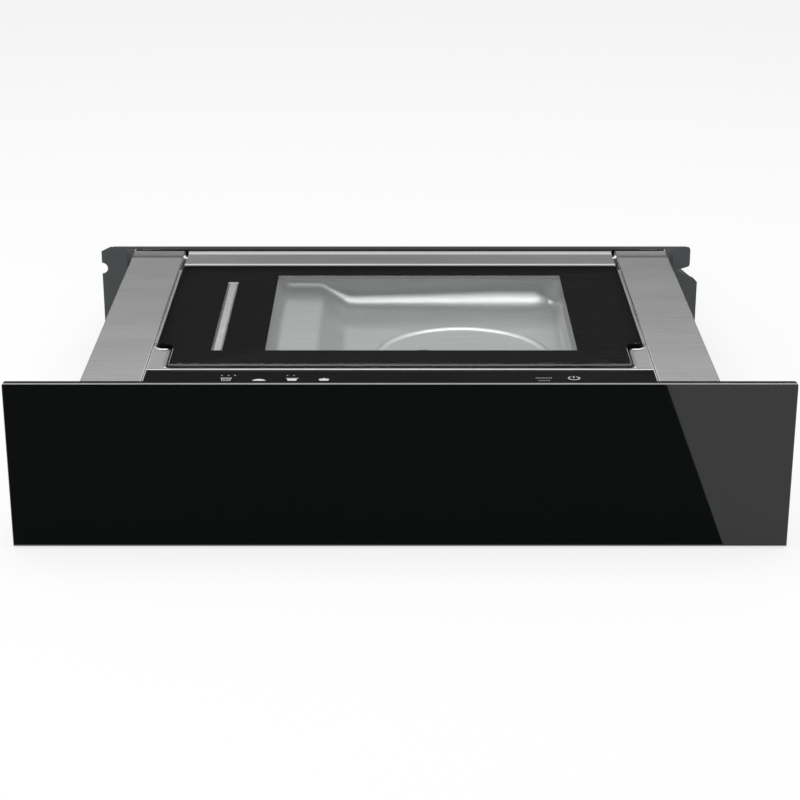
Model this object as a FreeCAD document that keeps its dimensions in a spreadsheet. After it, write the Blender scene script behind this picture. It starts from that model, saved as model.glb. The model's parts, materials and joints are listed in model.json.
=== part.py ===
"""Vacuum sealing drawer, drawn out, with its lid shut.

Millimetres. X is across the front, +Y points into the kitchen niche, +Z is up. The origin is at the foot
of the housing, on the middle line, in the front plane of the housing's ears.
Each formula below is text over the names in SIZES and is bound to the property that it drives.
"""

import FreeCAD
import Part
import os
import re
import Sketcher

SIZES = {
    # Front panel
    "panel_width": 597,
    "panel_height": 134,
    "panel_lift": 1.5,
    "glass_depth": 5.5,
    "panel_corner": 2.3,
    "panel_chamfer": 0.6,
    "carrier_depth": 12.5,
    "carrier_inset": 7,
    "buffer_radius": 4,
    "buffer_pitch": 50,
    "screw_radius": 2,
    "head_radius": 3.6,
    "head_height": 2.4,
    "carrier_screw_pitch": 120,
    "carrier_screw_low": 34,
    "closing_gap": 1.5,
    # Sheet thicknesses
    "sheet": 1.2,
    "rest_gap": 0.3,
    # Housing
    "panel_overhang": 22,
    "ear_width": 23.4,
    "housing_depth": 420,
    "crossbar_height": 2.2,
    "lid_clearance": 0.8,
    "wall_drop": 34,
    "wall_knee": 36,
    "cheek_depth": 60,
    "cheek_foot": 38,
    "cheek_drop": 18,
    "notch_radius": 5.2,
    "notch_drop": 20.4,
    "ear_cut_width": 8.4,
    "ear_cut_height": 4.2,
    "tab_width": 15.8,
    "tab_height": 18.6,
    "tab_corner": 3,
    "bite_inset": 2.5,
    "bite_drop": 22.6,
    "bite_foot_inset": 4,
    "bite_foot_drop": 29.6,
    "ear_hole_radius": 2.6,
    "ear_hole_low": 20,
    "ear_hole_pitch": 50,
    "base_window_margin": 34,
    "base_window_rim": 41,
    "base_window_start": 60,
    "base_window_end": 35,
    "base_window_corner": 12,
    # Slides
    "slide_room": 36.5,
    "slide_centre": 18.5,
    "slide_height": 34,
    "slide_length": 300,
    "slide_start": 6,
    "slide_step": 3.9,
    "slide_lap": 2.2,
    "cage_web": 0.9,
    "cage_length": 100,
    "cage_start": 106,
    "bracket_half": 10,
    "bracket_lip": 5,
    # Drawer tray
    "tray_lift": 8,
    "tray_tail": 148.5,
    "tail_height": 81,
    "slope_foot": 40,
    "deck_rear": 10,
    # Deck
    "deck_drop": 13.9,
    "deck_inset": 41,
    "cover_overhang": 7.2,
    "cover_joint": 0.8,
    "cover_lip": 12,
    "seat_depth": 11.8,
    "deck_strip": 4.1,
    "control_joint": 2.2,
    "control_thick": 3.3,
    "control_play": 1,
    "control_reach": 54.5,
    "board_inset": 13,
    "board_thick": 1.6,
    "board_pitch": 60,
    "relay_size": 10,
    "relay_height": 5,
    # Lid
    "lid_margin": 4,
    "lid_length": 257.8,
    "lid_thick": 8,
    "lid_proud": 3.7,
    "lid_joint": 1.6,
    "lid_front_joint": 0.8,
    "notch_width": 12.4,
    "notch_length": 47,
    "lid_corner": 5,
    "print_thick": 0.4,
    "window_lap": 0.2,
    "window_cover": 7.9,
    "window_rear_cover": 9.5,
    "window_front_cover": 22.5,
    "slot_width": 9,
    "slot_setback": 19,
    # Hinge
    "beam_rear": 3,
    "beam_width": 46.2,
    "beam_height": 10.8,
    "beam_ridge": 9,
    "beam_groove": 5,
    "beam_lip": 4.5,
    "beam_ledge": 5.5,
    "hinge_set_back": 9,
    "hinge_drop": 2,
    "pin_radius": 2,
    "pin_play": 0.05,
    "pin_length": 16,
    "lug_gap": 2.3,
    "lug_half": 10,
    "eye_radius": 3.5,
    # Chamber
    "channel_margin": 27,
    "channel_width": 40,
    "channel_depth": 40,
    "chamber_gap": 20,
    "chamber_margin": 45,
    "rear_margin": 12.8,
    "front_margin": 15,
    "chamber_draft": 7,
    "shelf_depth": 19,
    "floor_depth": 34,
    "shelf_width": 38.5,
    "slope_width": 23,
    "chamber_corner": 20,
    "chamber_fillet": 8,
    "slope_bend": 12,
    "rim_width": 14,
    "rim_corner": 12,
    "ring_margin": 23.75,
    "ring_shift": 4.25,
    "ring_reach": 107,
    "ring_rise": 1.5,
    "ring_half": 4,
    "port_clearance": 38,
    "port_radius": 7,
    "filter_lip": 2,
    "filter_rise": 0.8,
    "neck_length": 5,
    "spigot_length": 9,
    "seal_width": 5,
    "seal_inset": 1,
    # Sealing bar
    "bar_offset": 21,
    "bar_width": 12,
    "bar_height": 16,
    "bar_foot": 3,
    "bar_foot_height": 4,
    "bar_length": 206,
    "bar_lift": 6,
    "bar_gap": 6.5,
    "strip_width": 8,
    "strip_thick": 1.2,
    "clamp_length": 5,
    "clamp_rise": 1,
    "clip_length": 4,
    "silicone_width": 6.4,
    "silicone_height": 4,
    "rod_radius": 3,
    "rod_spread": 140,
    "rod_spare": 4,
    "cylinder_radius": 11,
    "cylinder_height": 26,
    "nipple_length": 8,
    # Works behind and below the chamber
    "motor_radius": 32,
    "motor_cap_length": 5,
    "motor_foot_half": 18,
    "motor_foot_inset": 12,
    "pump_head_length": 62,
    "pump_head_height": 50,
    "fin_pitch": 9,
    "fin_thick": 4,
    "fin_reach": 6,
    "fin_low": 8,
    "fin_high": 60,
    "pump_y": 82,
    "plate_margin": 6,
    "mount_radius": 7,
    "mount_height": 6,
    "mount_inset": 9,
    "pipe_radius": 5,
    "pipe_wall": 1.5,
    "core_gap": 22,
    "core_width": 70,
    "core_depth": 60,
    "core_height": 58,
    "coil_inset": 12,
    "coil_length": 84,
    "motor_gap": 25,
    "board_gap": 30,
    "board_margin": 14,
    "board_front": 36,
    "board_rear": 12,
    "post_radius": 3,
    "post_height": 10,
    "post_inset": 6,
    "power_relay": 24,
    "power_relay_depth": 16,
    "power_pitch": 34,
    "power_inset": 16,
    "power_height": 20,
    "capacitor_radius": 8,
    "capacitor_height": 32,
    "capacitor_y": 66,
    "valve_size": 30,
    "valve_radius": 11,
    "valve_gap": 26,
    "cover_slot_pitch": 34,
    "cover_slot_length": 22,
    "cover_slot_width": 4,
    "cover_slot_y": 12,
    "latch_half": 9,
    "latch_depth": 28,
    "latch_centre": 46,
    "latch_stroke": 5,
    "plunger_radius": 5,
    "inlet_side": 56,
    "inlet_width": 28,
    "inlet_height": 20,
    "inlet_lift": 20,
    "inlet_depth": 17,
}

doc = FreeCAD.newDocument("VacuumSealingDrawer")
sheet = doc.addObject("Spreadsheet::Sheet", "Sizes")
for row, (alias, value) in enumerate(SIZES.items(), start=1):
    sheet.set(f"A{row}", alias)
    sheet.set(f"B{row}", str(value))
    sheet.setAlias(f"B{row}", alias)
doc.recompute()

# Heights, widths and depths that several pieces share
PANEL_TOP = "(panel_lift + panel_height)"
BEAM_REAR = "(0 - beam_rear)"
LID_REAR = "(0 - beam_rear - beam_width)"
LID_FRONT = f"({LID_REAR} - lid_length)"
PANEL_BACK = f"({LID_FRONT} - control_reach)"
TRAVEL = f"(0 - {PANEL_BACK} - closing_gap)"
GLASS_BACK = f"({PANEL_BACK} - carrier_depth)"
PANEL_FRONT = f"({GLASS_BACK} - glass_depth)"
DECK_TOP = f"({PANEL_TOP} - deck_drop)"
DECK_UNDER = f"({DECK_TOP} - sheet)"
SEAT_TOP = f"({DECK_TOP} - seat_depth)"
LID_TOP = f"({DECK_TOP} + lid_proud)"
LID_UNDER = f"({LID_TOP} - lid_thick)"
PRINT_UNDER = f"({LID_UNDER} - print_thick)"
EAR_TOP = f"({LID_TOP} + lid_clearance + crossbar_height)"
HOUSING_HALF = "(panel_width / 2 - panel_overhang)"
EAR_INNER = f"({HOUSING_HALF} - ear_width)"
EAR_MIDDLE = f"({HOUSING_HALF} - ear_width / 2)"
WALL_OUTER = HOUSING_HALF
WALL_INNER = f"({HOUSING_HALF} - sheet)"
TRAY_HALF = f"({HOUSING_HALF} - slide_room)"
TRAY_FLOOR = "(tray_lift + sheet)"
DECK_HALF = f"({TRAY_HALF} - deck_inset)"
WALL_FACE = f"({DECK_HALF} + rest_gap)"
COVER_INNER = f"({DECK_HALF} + cover_joint)"
COVER_OUTER = f"({TRAY_HALF} + cover_overhang)"
BRACKET_FACE = f"({TRAY_HALF} + 3 * slide_step + sheet)"
CONTROL_HALF = f"({DECK_HALF} - control_play)"
LID_HALF = f"({DECK_HALF} - lid_margin)"
SEAT_FRONT = f"({LID_FRONT} - lid_front_joint)"
STRIP_FRONT = f"({SEAT_FRONT} - deck_strip)"
CONTROL_REAR = f"({STRIP_FRONT} - control_joint)"
CONTROL_UNDER = f"({DECK_TOP} - control_thick)"
HINGE_Y = "(0 - hinge_set_back)"
HINGE_Z = f"({DECK_TOP} - hinge_drop)"
RIM_TOP = f"({SEAT_TOP} + sheet)"
FLOOR_TOP = f"({DECK_TOP} - floor_depth)"
SHELF_TOP = f"({DECK_TOP} - shelf_depth)"
CHANNEL_TOP = f"({DECK_TOP} - channel_depth)"
CHANNEL_LEFT = f"({LID_HALF} - channel_margin)"
CHANNEL_RIGHT = f"({CHANNEL_LEFT} - channel_width)"
CHAMBER_LEFT = f"({CHANNEL_RIGHT} - chamber_gap)"
CHAMBER_RIGHT = f"({LID_HALF} - chamber_margin)"
CHAMBER_REAR = f"({LID_REAR} - rear_margin)"
CHAMBER_FRONT = f"({LID_FRONT} + front_margin)"
SHELF_LEFT = f"({CHAMBER_LEFT} - shelf_width)"
SLOPE_LEFT = f"({SHELF_LEFT} - slope_width)"
FLOOR_RIGHT = f"({CHAMBER_RIGHT} - chamber_draft)"
RING_X = f"(({FLOOR_RIGHT} - {SLOPE_LEFT}) / 2 + ring_shift)"
RING_Y = f"({LID_FRONT} + ring_reach)"
RING_RADIUS = f"(({FLOOR_RIGHT} + {SLOPE_LEFT}) / 2 - ring_margin)"
PORT_X = f"({RING_X} - {RING_RADIUS} + port_clearance)"
WINDOW_REAR = f"({CHAMBER_REAR} - window_rear_cover)"
WINDOW_FRONT = f"({CHAMBER_FRONT} + window_front_cover)"
SLOT_REAR = f"({WINDOW_REAR} - slot_setback)"
BAR_X = f"(bar_offset - {CHANNEL_LEFT})"
BAR_Y = f"(({SLOT_REAR} + {WINDOW_FRONT}) / 2)"
SILICONE_UNDER = f"({PRINT_UNDER} - silicone_height)"
STRIP_TOP = f"({SILICONE_UNDER} - bar_gap)"
BAR_TOP = f"({STRIP_TOP} - strip_thick)"
BAR_UNDER = f"({BAR_TOP} - bar_height)"
ROD_SPOTS = [f"({BAR_Y} - rod_spread / 2)", f"({BAR_Y} + rod_spread / 2)"]
SPIGOT = "(pipe_radius - pipe_wall - rest_gap)"
PIPE_LEVEL = f"({TRAY_FLOOR} + mount_height + sheet + motor_radius)"
CORE_RIGHT = f"(core_gap + core_width - {TRAY_HALF})"
INLET_X = f"(inlet_side - {TRAY_HALF})"
PITCHES = (-1.5, -0.5, 0.5, 1.5)
CARRIER_SPOTS = [(f"({x} * carrier_screw_pitch)", z) for x in PITCHES
                 for z in ("carrier_screw_low", f"({DECK_UNDER} - carrier_screw_low)")]


def formula(text):
    """The text with each name of the sheet written out for an expression."""
    return re.sub(r"\b[a-z][a-z_]+\b", lambda word: f"Sizes.{word[0]}" if word[0] in SIZES else word[0], text)


def number(text):
    """What a formula gives with the sheet's present values."""
    return float(sheet.evalExpression(formula(text)))


def bind(thing, prop, text):
    """Tie one property to a formula."""
    thing.setExpression(prop, formula(text))


def place(thing, x="0", y="0", z="0"):
    """Tie a placement's position to three formulas."""
    for letter, text in zip("xyz", (x, y, z)):
        bind(thing, f"Placement.Base.{letter}", text)
    return thing


def add(kind, name):
    """A new object whose label is its name."""
    thing = doc.addObject(kind, name)
    thing.Label = name
    return thing


def block(name, x, y, z):
    """A box between two formulas on each axis."""
    thing = add("Part::Box", name)
    for prop, (low, high) in zip(("Length", "Width", "Height"), (x, y, z)):
        bind(thing, prop, f"({high}) - ({low})")
    return place(thing, x[0], y[0], z[0])


TURNS = {"X": FreeCAD.Rotation(FreeCAD.Vector(0, 1, 0), 90),
         "Y": FreeCAD.Rotation(FreeCAD.Vector(1, 0, 0), -90),
         "Z": FreeCAD.Rotation()}


def rod(name, radius, axis, low, high, first, second):
    """A cylinder along one axis from low to high; first and second place it on the other two axes."""
    thing = add("Part::Cylinder", name)
    bind(thing, "Radius", radius)
    bind(thing, "Height", f"({high}) - ({low})")
    thing.Placement = FreeCAD.Placement(FreeCAD.Vector(), TURNS[axis])
    spot = {"X": (low, first, second), "Y": (first, low, second), "Z": (first, second, low)}[axis]
    return place(thing, *spot)


def cut(name, base, *tools):
    """The base less the tools."""
    tool = tools[0] if len(tools) == 1 else fuse(f"{name}_tools", *tools)
    thing = add("Part::Cut", name)
    thing.Base = base
    thing.Tool = tool
    return thing


def fuse(name, *shapes):
    """The shapes as one solid where they touch."""
    thing = add("Part::MultiFuse", name)
    thing.Shapes = list(shapes)
    return thing


def group(name, *shapes):
    """Separate solids that share one node."""
    thing = add("Part::Compound", name)
    thing.Links = list(shapes)
    return thing


def common(name, base, tool):
    """Where two solids overlap."""
    thing = add("Part::Common", name)
    thing.Base = base
    thing.Tool = tool
    return thing


def mirrored(name, source):
    """The same piece on the other side of the middle plane."""
    thing = add("Part::Mirroring", name)
    thing.Source = source
    thing.Normal = FreeCAD.Vector(1, 0, 0)
    return thing


def body(name):
    """An empty body for one sub-part."""
    return add("PartDesign::Body", name)


def sketch(part, plane, offset):
    """A sketch on one of the body's own origin planes, moved out along the plane's normal."""
    thing = part.newObject("Sketcher::SketchObject", f"{part.Label}_sketch")
    support = next(f for f in part.Origin.OriginFeatures if f.Role == f"{plane}_Plane")
    thing.AttachmentSupport = [(support, "")]
    thing.MapMode = "FlatFace"
    bind(thing, "AttachmentOffset.Base.z", offset)
    return thing


def hold(drawing, kind, element, point, text):
    """Dimension one point from the sketch's origin along one direction."""
    index = drawing.addConstraint(Sketcher.Constraint(kind, -1, 1, element, point, number(text)))
    drawing.setExpression(f"Constraints[{index}]", formula(text))


def polygon(drawing, points):
    """A closed outline through points given as pairs of formulas."""
    corners = [FreeCAD.Vector(number(a), number(b), 0) for a, b in points]
    first = drawing.GeometryCount
    count = len(points)
    for i in range(count):
        drawing.addGeometry(Part.LineSegment(corners[i], corners[(i + 1) % count]))
    for i in range(count):
        drawing.addConstraint(Sketcher.Constraint("Coincident", first + i, 2, first + (i + 1) % count, 1))
    for i, (a, b) in enumerate(points):
        hold(drawing, "DistanceX", first + i, 1, a)
        hold(drawing, "DistanceY", first + i, 1, b)


def circle(drawing, a, b, radius):
    """A circle at a pair of formulas."""
    centre = FreeCAD.Vector(number(a), number(b), 0)
    index = drawing.addGeometry(Part.Circle(centre, FreeCAD.Vector(0, 0, 1), number(radius)))
    hold(drawing, "DistanceX", index, 3, a)
    hold(drawing, "DistanceY", index, 3, b)
    size = drawing.addConstraint(Sketcher.Constraint("Radius", index, number(radius)))
    drawing.setExpression(f"Constraints[{size}]", formula(radius))


def rectangle(x, y):
    """Four corners from two spans."""
    return [(x[0], y[0]), (x[1], y[0]), (x[1], y[1]), (x[0], y[1])]


def along(plane, low, high):
    """A span as distances along the plane's normal, which points to -Y for the XZ plane."""
    return (f"(0 - ({high}))", f"(0 - ({low}))") if plane == "XZ" else (low, high)


def extrude(part, kind, plane, low, high, outlines):
    """Pad or pocket outlines between two formulas on the third axis. An outline is points or a circle."""
    start, end = along(plane, low, high)
    drawing = sketch(part, plane, start if kind == "Pad" else end)
    for outline in outlines:
        if isinstance(outline, tuple):
            circle(drawing, *outline)
        else:
            polygon(drawing, outline)
    before = part.Tip.Shape.Volume if kind == "Pocket" else 0
    thing = part.newObject(f"PartDesign::{kind}", f"{part.Label}_{kind.lower()}")
    thing.Profile = drawing
    bind(thing, "Length", f"({end}) - ({start})")
    doc.recompute()
    if kind == "Pocket" and not thing.Shape.Volume < before - 1e-6:
        raise ValueError(f"{part.Label}: a pocket cut nothing")
    part.Tip = thing
    return thing


def pad(part, plane, low, high, *outlines):
    return extrude(part, "Pad", plane, low, high, outlines)


def pocket(part, plane, low, high, *outlines):
    return extrude(part, "Pocket", plane, low, high, outlines)


def dress(part, kind, prop, size, wanted):
    """Fillet or chamfer the tip's edges for which wanted(edge) holds."""
    base = part.Tip
    names = [f"Edge{i}" for i, edge in enumerate(base.Shape.Edges, start=1) if wanted(edge)]
    if not names:
        raise ValueError(f"{part.Label}: no edge to dress")
    thing = part.newObject(f"PartDesign::{kind}", f"{part.Label}_{kind.lower()}")
    thing.Base = (base, names)
    bind(thing, prop, size)
    doc.recompute()
    part.Tip = thing
    return thing


def fillet(part, size, wanted):
    return dress(part, "Fillet", "Radius", size, wanted)


def chamfer(part, size, wanted):
    return dress(part, "Chamfer", "Size", size, wanted)


def runs(edge, axis):
    """Is the edge a straight one along this axis?"""
    if edge.Curve.TypeId != "Part::GeomLine":
        return False
    return abs(edge.tangentAt(edge.FirstParameter).dot(axis)) > 0.999


def near(value, text, slack=0.01):
    return abs(value - number(text)) < slack


X, Y, Z = FreeCAD.Vector(1, 0, 0), FreeCAD.Vector(0, 1, 0), FreeCAD.Vector(0, 0, 1)


def minus(text):
    return f"(0 - ({text}))"


def both(half):
    """The span from one side to the other of the middle plane."""
    return (minus(half), half)


def about(centre, half):
    """The span of a half width on each side of a centre."""
    return (f"({centre} - {half})", f"({centre} + {half})")


def sided(side, near_end, far_end):
    """A span on one side of the middle plane, lowest value first."""
    near_end, far_end = f"({side} * {near_end})", f"({side} * {far_end})"
    return (far_end, near_end) if side < 0 else (near_end, far_end)


# Housing

def housing_base():
    part = body("housing_base")
    pad(part, "XY", "0", "sheet", rectangle(both(WALL_OUTER), ("0", "housing_depth")))
    for side in (-1, 1):
        across = sided(side, "base_window_margin", f"({WALL_INNER} - base_window_rim)")
        pocket(part, "XY", "0", "sheet",
               rectangle(across, ("base_window_start", "(housing_depth - base_window_end)")))
    fillet(part, "base_window_corner", lambda e: runs(e, Z) and abs(e.CenterOfMass.x) < number(EAR_INNER))


def housing_side(name, side, ear):
    """Side wall that falls to the rear, the ear in front of the niche's edge, and a cheek behind the ear."""
    part = body(name)
    shape = [("sheet", "sheet"), ("housing_depth", "sheet"), ("housing_depth", "(2 * sheet)"),
             ("(slide_start + slide_length)", "wall_knee"), ("sheet", f"({EAR_TOP} - wall_drop)")]
    pad(part, "YZ", *sided(side, WALL_INNER, WALL_OUTER), shape)
    pad(part, "XZ", "0", "sheet", ear)
    cheek = [("sheet", "cheek_foot"), ("cheek_depth", "cheek_foot"),
             ("cheek_depth", f"({EAR_TOP} - cheek_drop)"),
             ("sheet", f"({EAR_TOP} - crossbar_height)")]
    pad(part, "YZ", *sided(side, EAR_INNER, f"({EAR_INNER} + sheet)"), cheek)
    middle = f"({side} * {EAR_MIDDLE})"
    low = (middle, "ear_hole_low", "ear_hole_radius")
    high = (middle, "(ear_hole_low + ear_hole_pitch)", "ear_hole_radius")
    latch = (middle, "latch_centre", "(plunger_radius + pin_play)")
    pocket(part, "XZ", "0", "sheet", low, high, latch)
    return part


def housing_sides():
    """Left ear with a round notch in its edge, right ear with a tab over a deep cut-out."""
    ear = [(minus(WALL_OUTER), "sheet"), (minus(EAR_INNER), "sheet"), (minus(EAR_INNER), EAR_TOP),
           (f"(ear_cut_width - {WALL_OUTER})", EAR_TOP), (minus(WALL_OUTER), f"({EAR_TOP} - ear_cut_height)")]
    left = housing_side("housing_side_left", -1, ear)
    pocket(left, "XZ", "0", "sheet", (minus(WALL_OUTER), f"({EAR_TOP} - notch_drop)", "notch_radius"))
    tab = f"({EAR_INNER} + tab_width)"
    ear = [(WALL_OUTER, "sheet"), (WALL_OUTER, f"({EAR_TOP} - wall_drop)"),
           (f"({WALL_OUTER} - bite_foot_inset)", f"({EAR_TOP} - bite_foot_drop)"),
           (f"({EAR_INNER} + bite_inset)", f"({EAR_TOP} - bite_drop)"), (tab, f"({EAR_TOP} - tab_height)"),
           (tab, EAR_TOP), (EAR_INNER, EAR_TOP), (EAR_INNER, "sheet")]
    right = housing_side("housing_side_right", 1, ear)
    fillet(right, "tab_corner", lambda e: runs(e, Y) and near(e.CenterOfMass.x, tab))


def front_crossbar():
    """Thin strip over the drawer between the ears, with its ends lapped behind them."""
    part = body("front_crossbar")
    height = (f"({EAR_TOP} - crossbar_height)", EAR_TOP)
    pad(part, "XZ", "0", "(2 * sheet)", rectangle(both(EAR_INNER), height))
    pad(part, "XZ", "sheet", "(2 * sheet)", rectangle(both(EAR_MIDDLE), height))


# Slides. Three nested channels on each side, each smaller and nearer the drawer than the one outside it.

def channel(name, step, half, start, length, flange):
    """One slide member: a web with two flanges towards the drawer, on the left side."""
    part = body(name)
    face = minus(f"({TRAY_HALF} + {step})")
    back = minus(f"({TRAY_HALF} + {step} + sheet)")
    tip = minus(flange)
    low, high = f"(slide_centre - {half})", f"(slide_centre + {half})"
    shape = [(back, low), (tip, low), (tip, f"({low} + sheet)"), (face, f"({low} + sheet)"),
             (face, f"({high} - sheet)"), (tip, f"({high} - sheet)"), (tip, high), (back, high)]
    pad(part, "XZ", start, f"({start} + {length})", shape)
    return part


def slides():
    """Outer members stay, middle members travel half way, inner members ride on the drawer."""
    half = "(slide_height / 2)"
    lap = f"({TRAY_HALF} + slide_lap)"
    outer = channel("slide_outer_left", "(3 * slide_step)", half, "slide_start", "slide_length", lap)
    middle = channel("slide_middle_left", "(2 * slide_step)", f"({half} - slide_step)",
                     f"(slide_start - {TRAVEL} / 2)", "slide_length", lap)
    inner = body("slide_inner_left")
    face, back = minus(TRAY_HALF), minus(f"({TRAY_HALF} + sheet)")
    tip = minus(f"({TRAY_HALF} + 2 * slide_step - cage_web - 2 * rest_gap)")
    low, high = f"(slide_centre - {half} + 2 * slide_step)", f"(slide_centre + {half} - 2 * slide_step)"
    shape = [(face, low), (tip, low), (tip, f"({low} + sheet)"), (back, f"({low} + sheet)"),
             (back, f"({high} - sheet)"), (tip, f"({high} - sheet)"), (tip, high), (face, high)]
    pad(inner, "XZ", f"(slide_start - {TRAVEL})", f"(slide_start - {TRAVEL} + slide_length)", shape)
    for member in (outer, middle, inner):
        mirrored(member.Label.replace("left", "right"), member)


def ball_cages():
    """Retainers between the members. Each travels at the mean of the two members that it runs between."""
    lap = minus(f"({TRAY_HALF} + slide_lap + rest_gap)")
    thick = "(slide_step - sheet - 2 * rest_gap)"
    for name, step, web, ratio in (("slide_cage_outer_left", 2, thick, 0.25),
                                   ("slide_cage_inner_left", 1, "cage_web", 0.75)):
        part = body(name)
        wide = minus(f"({TRAY_HALF} + {step + 1} * slide_step - rest_gap)")
        inside = f"({wide} + {web})"
        low = f"(slide_centre - slide_height / 2 + {2 - step} * slide_step + sheet + rest_gap)"
        high = f"(slide_centre + slide_height / 2 - {2 - step} * slide_step - sheet - rest_gap)"
        rest = f"(cage_start - {ratio} * {TRAVEL})"
        shape = [(wide, low), (lap, low), (lap, f"({low} + {thick})"), (inside, f"({low} + {thick})"),
                 (inside, f"({high} - {thick})"), (lap, f"({high} - {thick})"), (lap, high), (wide, high)]
        pad(part, "XZ", rest, f"({rest} + cage_length)", shape)
        mirrored(name.replace("left", "right"), part)


def slide_bracket_left():
    """Hat section that carries the outer slide member on the housing's side wall."""
    part = body("slide_bracket_left")
    web = minus(BRACKET_FACE)
    inside = minus(f"({BRACKET_FACE} + sheet)")
    wall, foot = minus(WALL_INNER), minus(f"({WALL_INNER} - sheet)")
    low, high = "(slide_centre - bracket_half)", "(slide_centre + bracket_half)"
    shape = [(web, low), (web, high), (foot, high), (foot, f"({high} + bracket_lip)"),
             (wall, f"({high} + bracket_lip)"), (wall, f"({high} - sheet)"), (inside, f"({high} - sheet)"),
             (inside, f"({low} + sheet)"), (wall, f"({low} + sheet)"), (wall, f"({low} - bracket_lip)"),
             (foot, f"({low} - bracket_lip)"), (foot, low)]
    pad(part, "XZ", "slide_start", "(slide_start + slide_length)", shape)
    return part


# Front panel

def front_glass():
    part = body("front_glass")
    pad(part, "XZ", PANEL_FRONT, GLASS_BACK, rectangle(both("(panel_width / 2)"), ("panel_lift", PANEL_TOP)))
    fillet(part, "panel_corner", lambda e: runs(e, Y) and near(e.CenterOfMass.z, PANEL_TOP))
    chamfer(part, "panel_chamfer", lambda e: near(e.BoundBox.YMax, PANEL_FRONT))


def front_carrier():
    """Folded tray behind the glass, open to the rear."""
    part = body("front_carrier")
    half = "(panel_width / 2 - carrier_inset)"
    low, high = "(panel_lift + carrier_inset)", DECK_UNDER
    pad(part, "XZ", GLASS_BACK, PANEL_BACK, rectangle(both(half), (low, high)))
    inside = rectangle(both(f"({half} - sheet)"), (f"({low} + sheet)", f"({high} - sheet)"))
    pocket(part, "XZ", f"({GLASS_BACK} + sheet)", PANEL_BACK, inside)
    spacers = [(x, z, "(2 * screw_radius)") for x, z in CARRIER_SPOTS]
    pad(part, "XZ", f"({GLASS_BACK} + sheet)", PANEL_BACK, *spacers)


def panel_buffers():
    """Rubber buffers between the panel and the housing's ears."""
    spots = [(f"({side} * {EAR_MIDDLE})", z) for side in (-1, 1)
             for z in ("latch_centre", "(latch_centre + buffer_pitch)")]
    front, rear = f"({GLASS_BACK} + sheet)", f"({PANEL_BACK} + closing_gap - rest_gap)"
    group("panel_buffers", *[rod(f"buffer_{i}", "buffer_radius", "Y", front, rear, x, z)
                             for i, (x, z) in enumerate(spots)])


def carrier_screws():
    """Screws that hold the carrier's spacers on the tray's front wall."""
    front = f"({PANEL_BACK} + sheet)"
    group("carrier_screws",
          *[rod(f"carrier_screw_{i}", "head_radius", "Y", front, f"({front} + head_height)", x, z)
                              for i, (x, z) in enumerate(CARRIER_SPOTS)])


# Drawer tray and its inner walls

def tray():
    part = body("tray")
    outer = [(PANEL_BACK, "tray_lift"), ("tray_tail", "tray_lift"), ("tray_tail", "tail_height"),
             ("slope_foot", "tail_height"), ("deck_rear", DECK_UNDER), (PANEL_BACK, DECK_UNDER)]
    pad(part, "YZ", minus(TRAY_HALF), TRAY_HALF, outer)
    front, back = f"({PANEL_BACK} + sheet)", "(tray_tail - sheet)"
    inner = [(front, TRAY_FLOOR), (back, TRAY_FLOOR), (back, EAR_TOP), (front, EAR_TOP)]
    pocket(part, "YZ", f"(sheet - {TRAY_HALF})", f"({TRAY_HALF} - sheet)", inner)
    x, z = inlet_span("0")
    pocket(part, "XZ", "(tray_tail - sheet)", "tray_tail", rectangle(x, z))


def inner_wall_left():
    """Folded wall inside the tray that carries the edge of the deck and of the side cover."""
    part = body("inner_wall_left")
    face, back, foot = minus(WALL_FACE), minus(f"({WALL_FACE} + sheet)"), minus(f"({WALL_FACE} + cover_lip)")
    shape = [(face, TRAY_FLOOR), (face, DECK_UNDER), (foot, DECK_UNDER), (foot, f"({DECK_UNDER} - sheet)"),
             (back, f"({DECK_UNDER} - sheet)"), (back, f"({TRAY_FLOOR} + sheet)"),
             (foot, f"({TRAY_FLOOR} + sheet)"),
             (foot, TRAY_FLOOR)]
    pad(part, "XZ", f"({PANEL_BACK} + 2 * sheet + rest_gap)", "deck_rear", shape)
    return part


def side_cover_left():
    """Brushed cap over the tray's side, with its outer edge folded down."""
    part = body("side_cover_left")
    inner, outer = minus(COVER_INNER), minus(COVER_OUTER)
    shape = [(inner, DECK_TOP), (inner, DECK_UNDER), (f"({outer} + sheet)", DECK_UNDER),
             (f"({outer} + sheet)", f"({DECK_TOP} - cover_lip)"), (outer, f"({DECK_TOP} - cover_lip)"),
             (outer, DECK_TOP)]
    pad(part, "XZ", PANEL_BACK, "deck_rear", shape)
    fillet(part, "sheet",
           lambda e: runs(e, Y) and near(e.CenterOfMass.x, outer) and near(e.CenterOfMass.z, DECK_TOP))
    return part


# Deck with the sunk seat of the lid

def chamber_outline(left, right, grow):
    """The chamber's rectangle from front to rear between two sides, grown on every side."""
    return rectangle((f"(0 - {left} - {grow})", f"({right} + {grow})"),
                     (f"({CHAMBER_FRONT} - {grow})", f"({CHAMBER_REAR} + {grow})"))


def lid_outline(gap, front_gap):
    """The lid's outline with its two notched front corners, grown by a joint at the sides and the front."""
    half = f"({LID_HALF} + {gap})"
    tongue = f"({LID_HALF} - notch_width + {gap})"
    shoulder = f"({LID_FRONT} + notch_length - {gap})"
    front = f"({LID_FRONT} - {front_gap})"
    return [(minus(half), LID_REAR), (minus(half), shoulder), (minus(tongue), shoulder),
            (minus(tongue), front),
            (tongue, front), (tongue, shoulder), (half, shoulder), (half, LID_REAR)]


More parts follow.
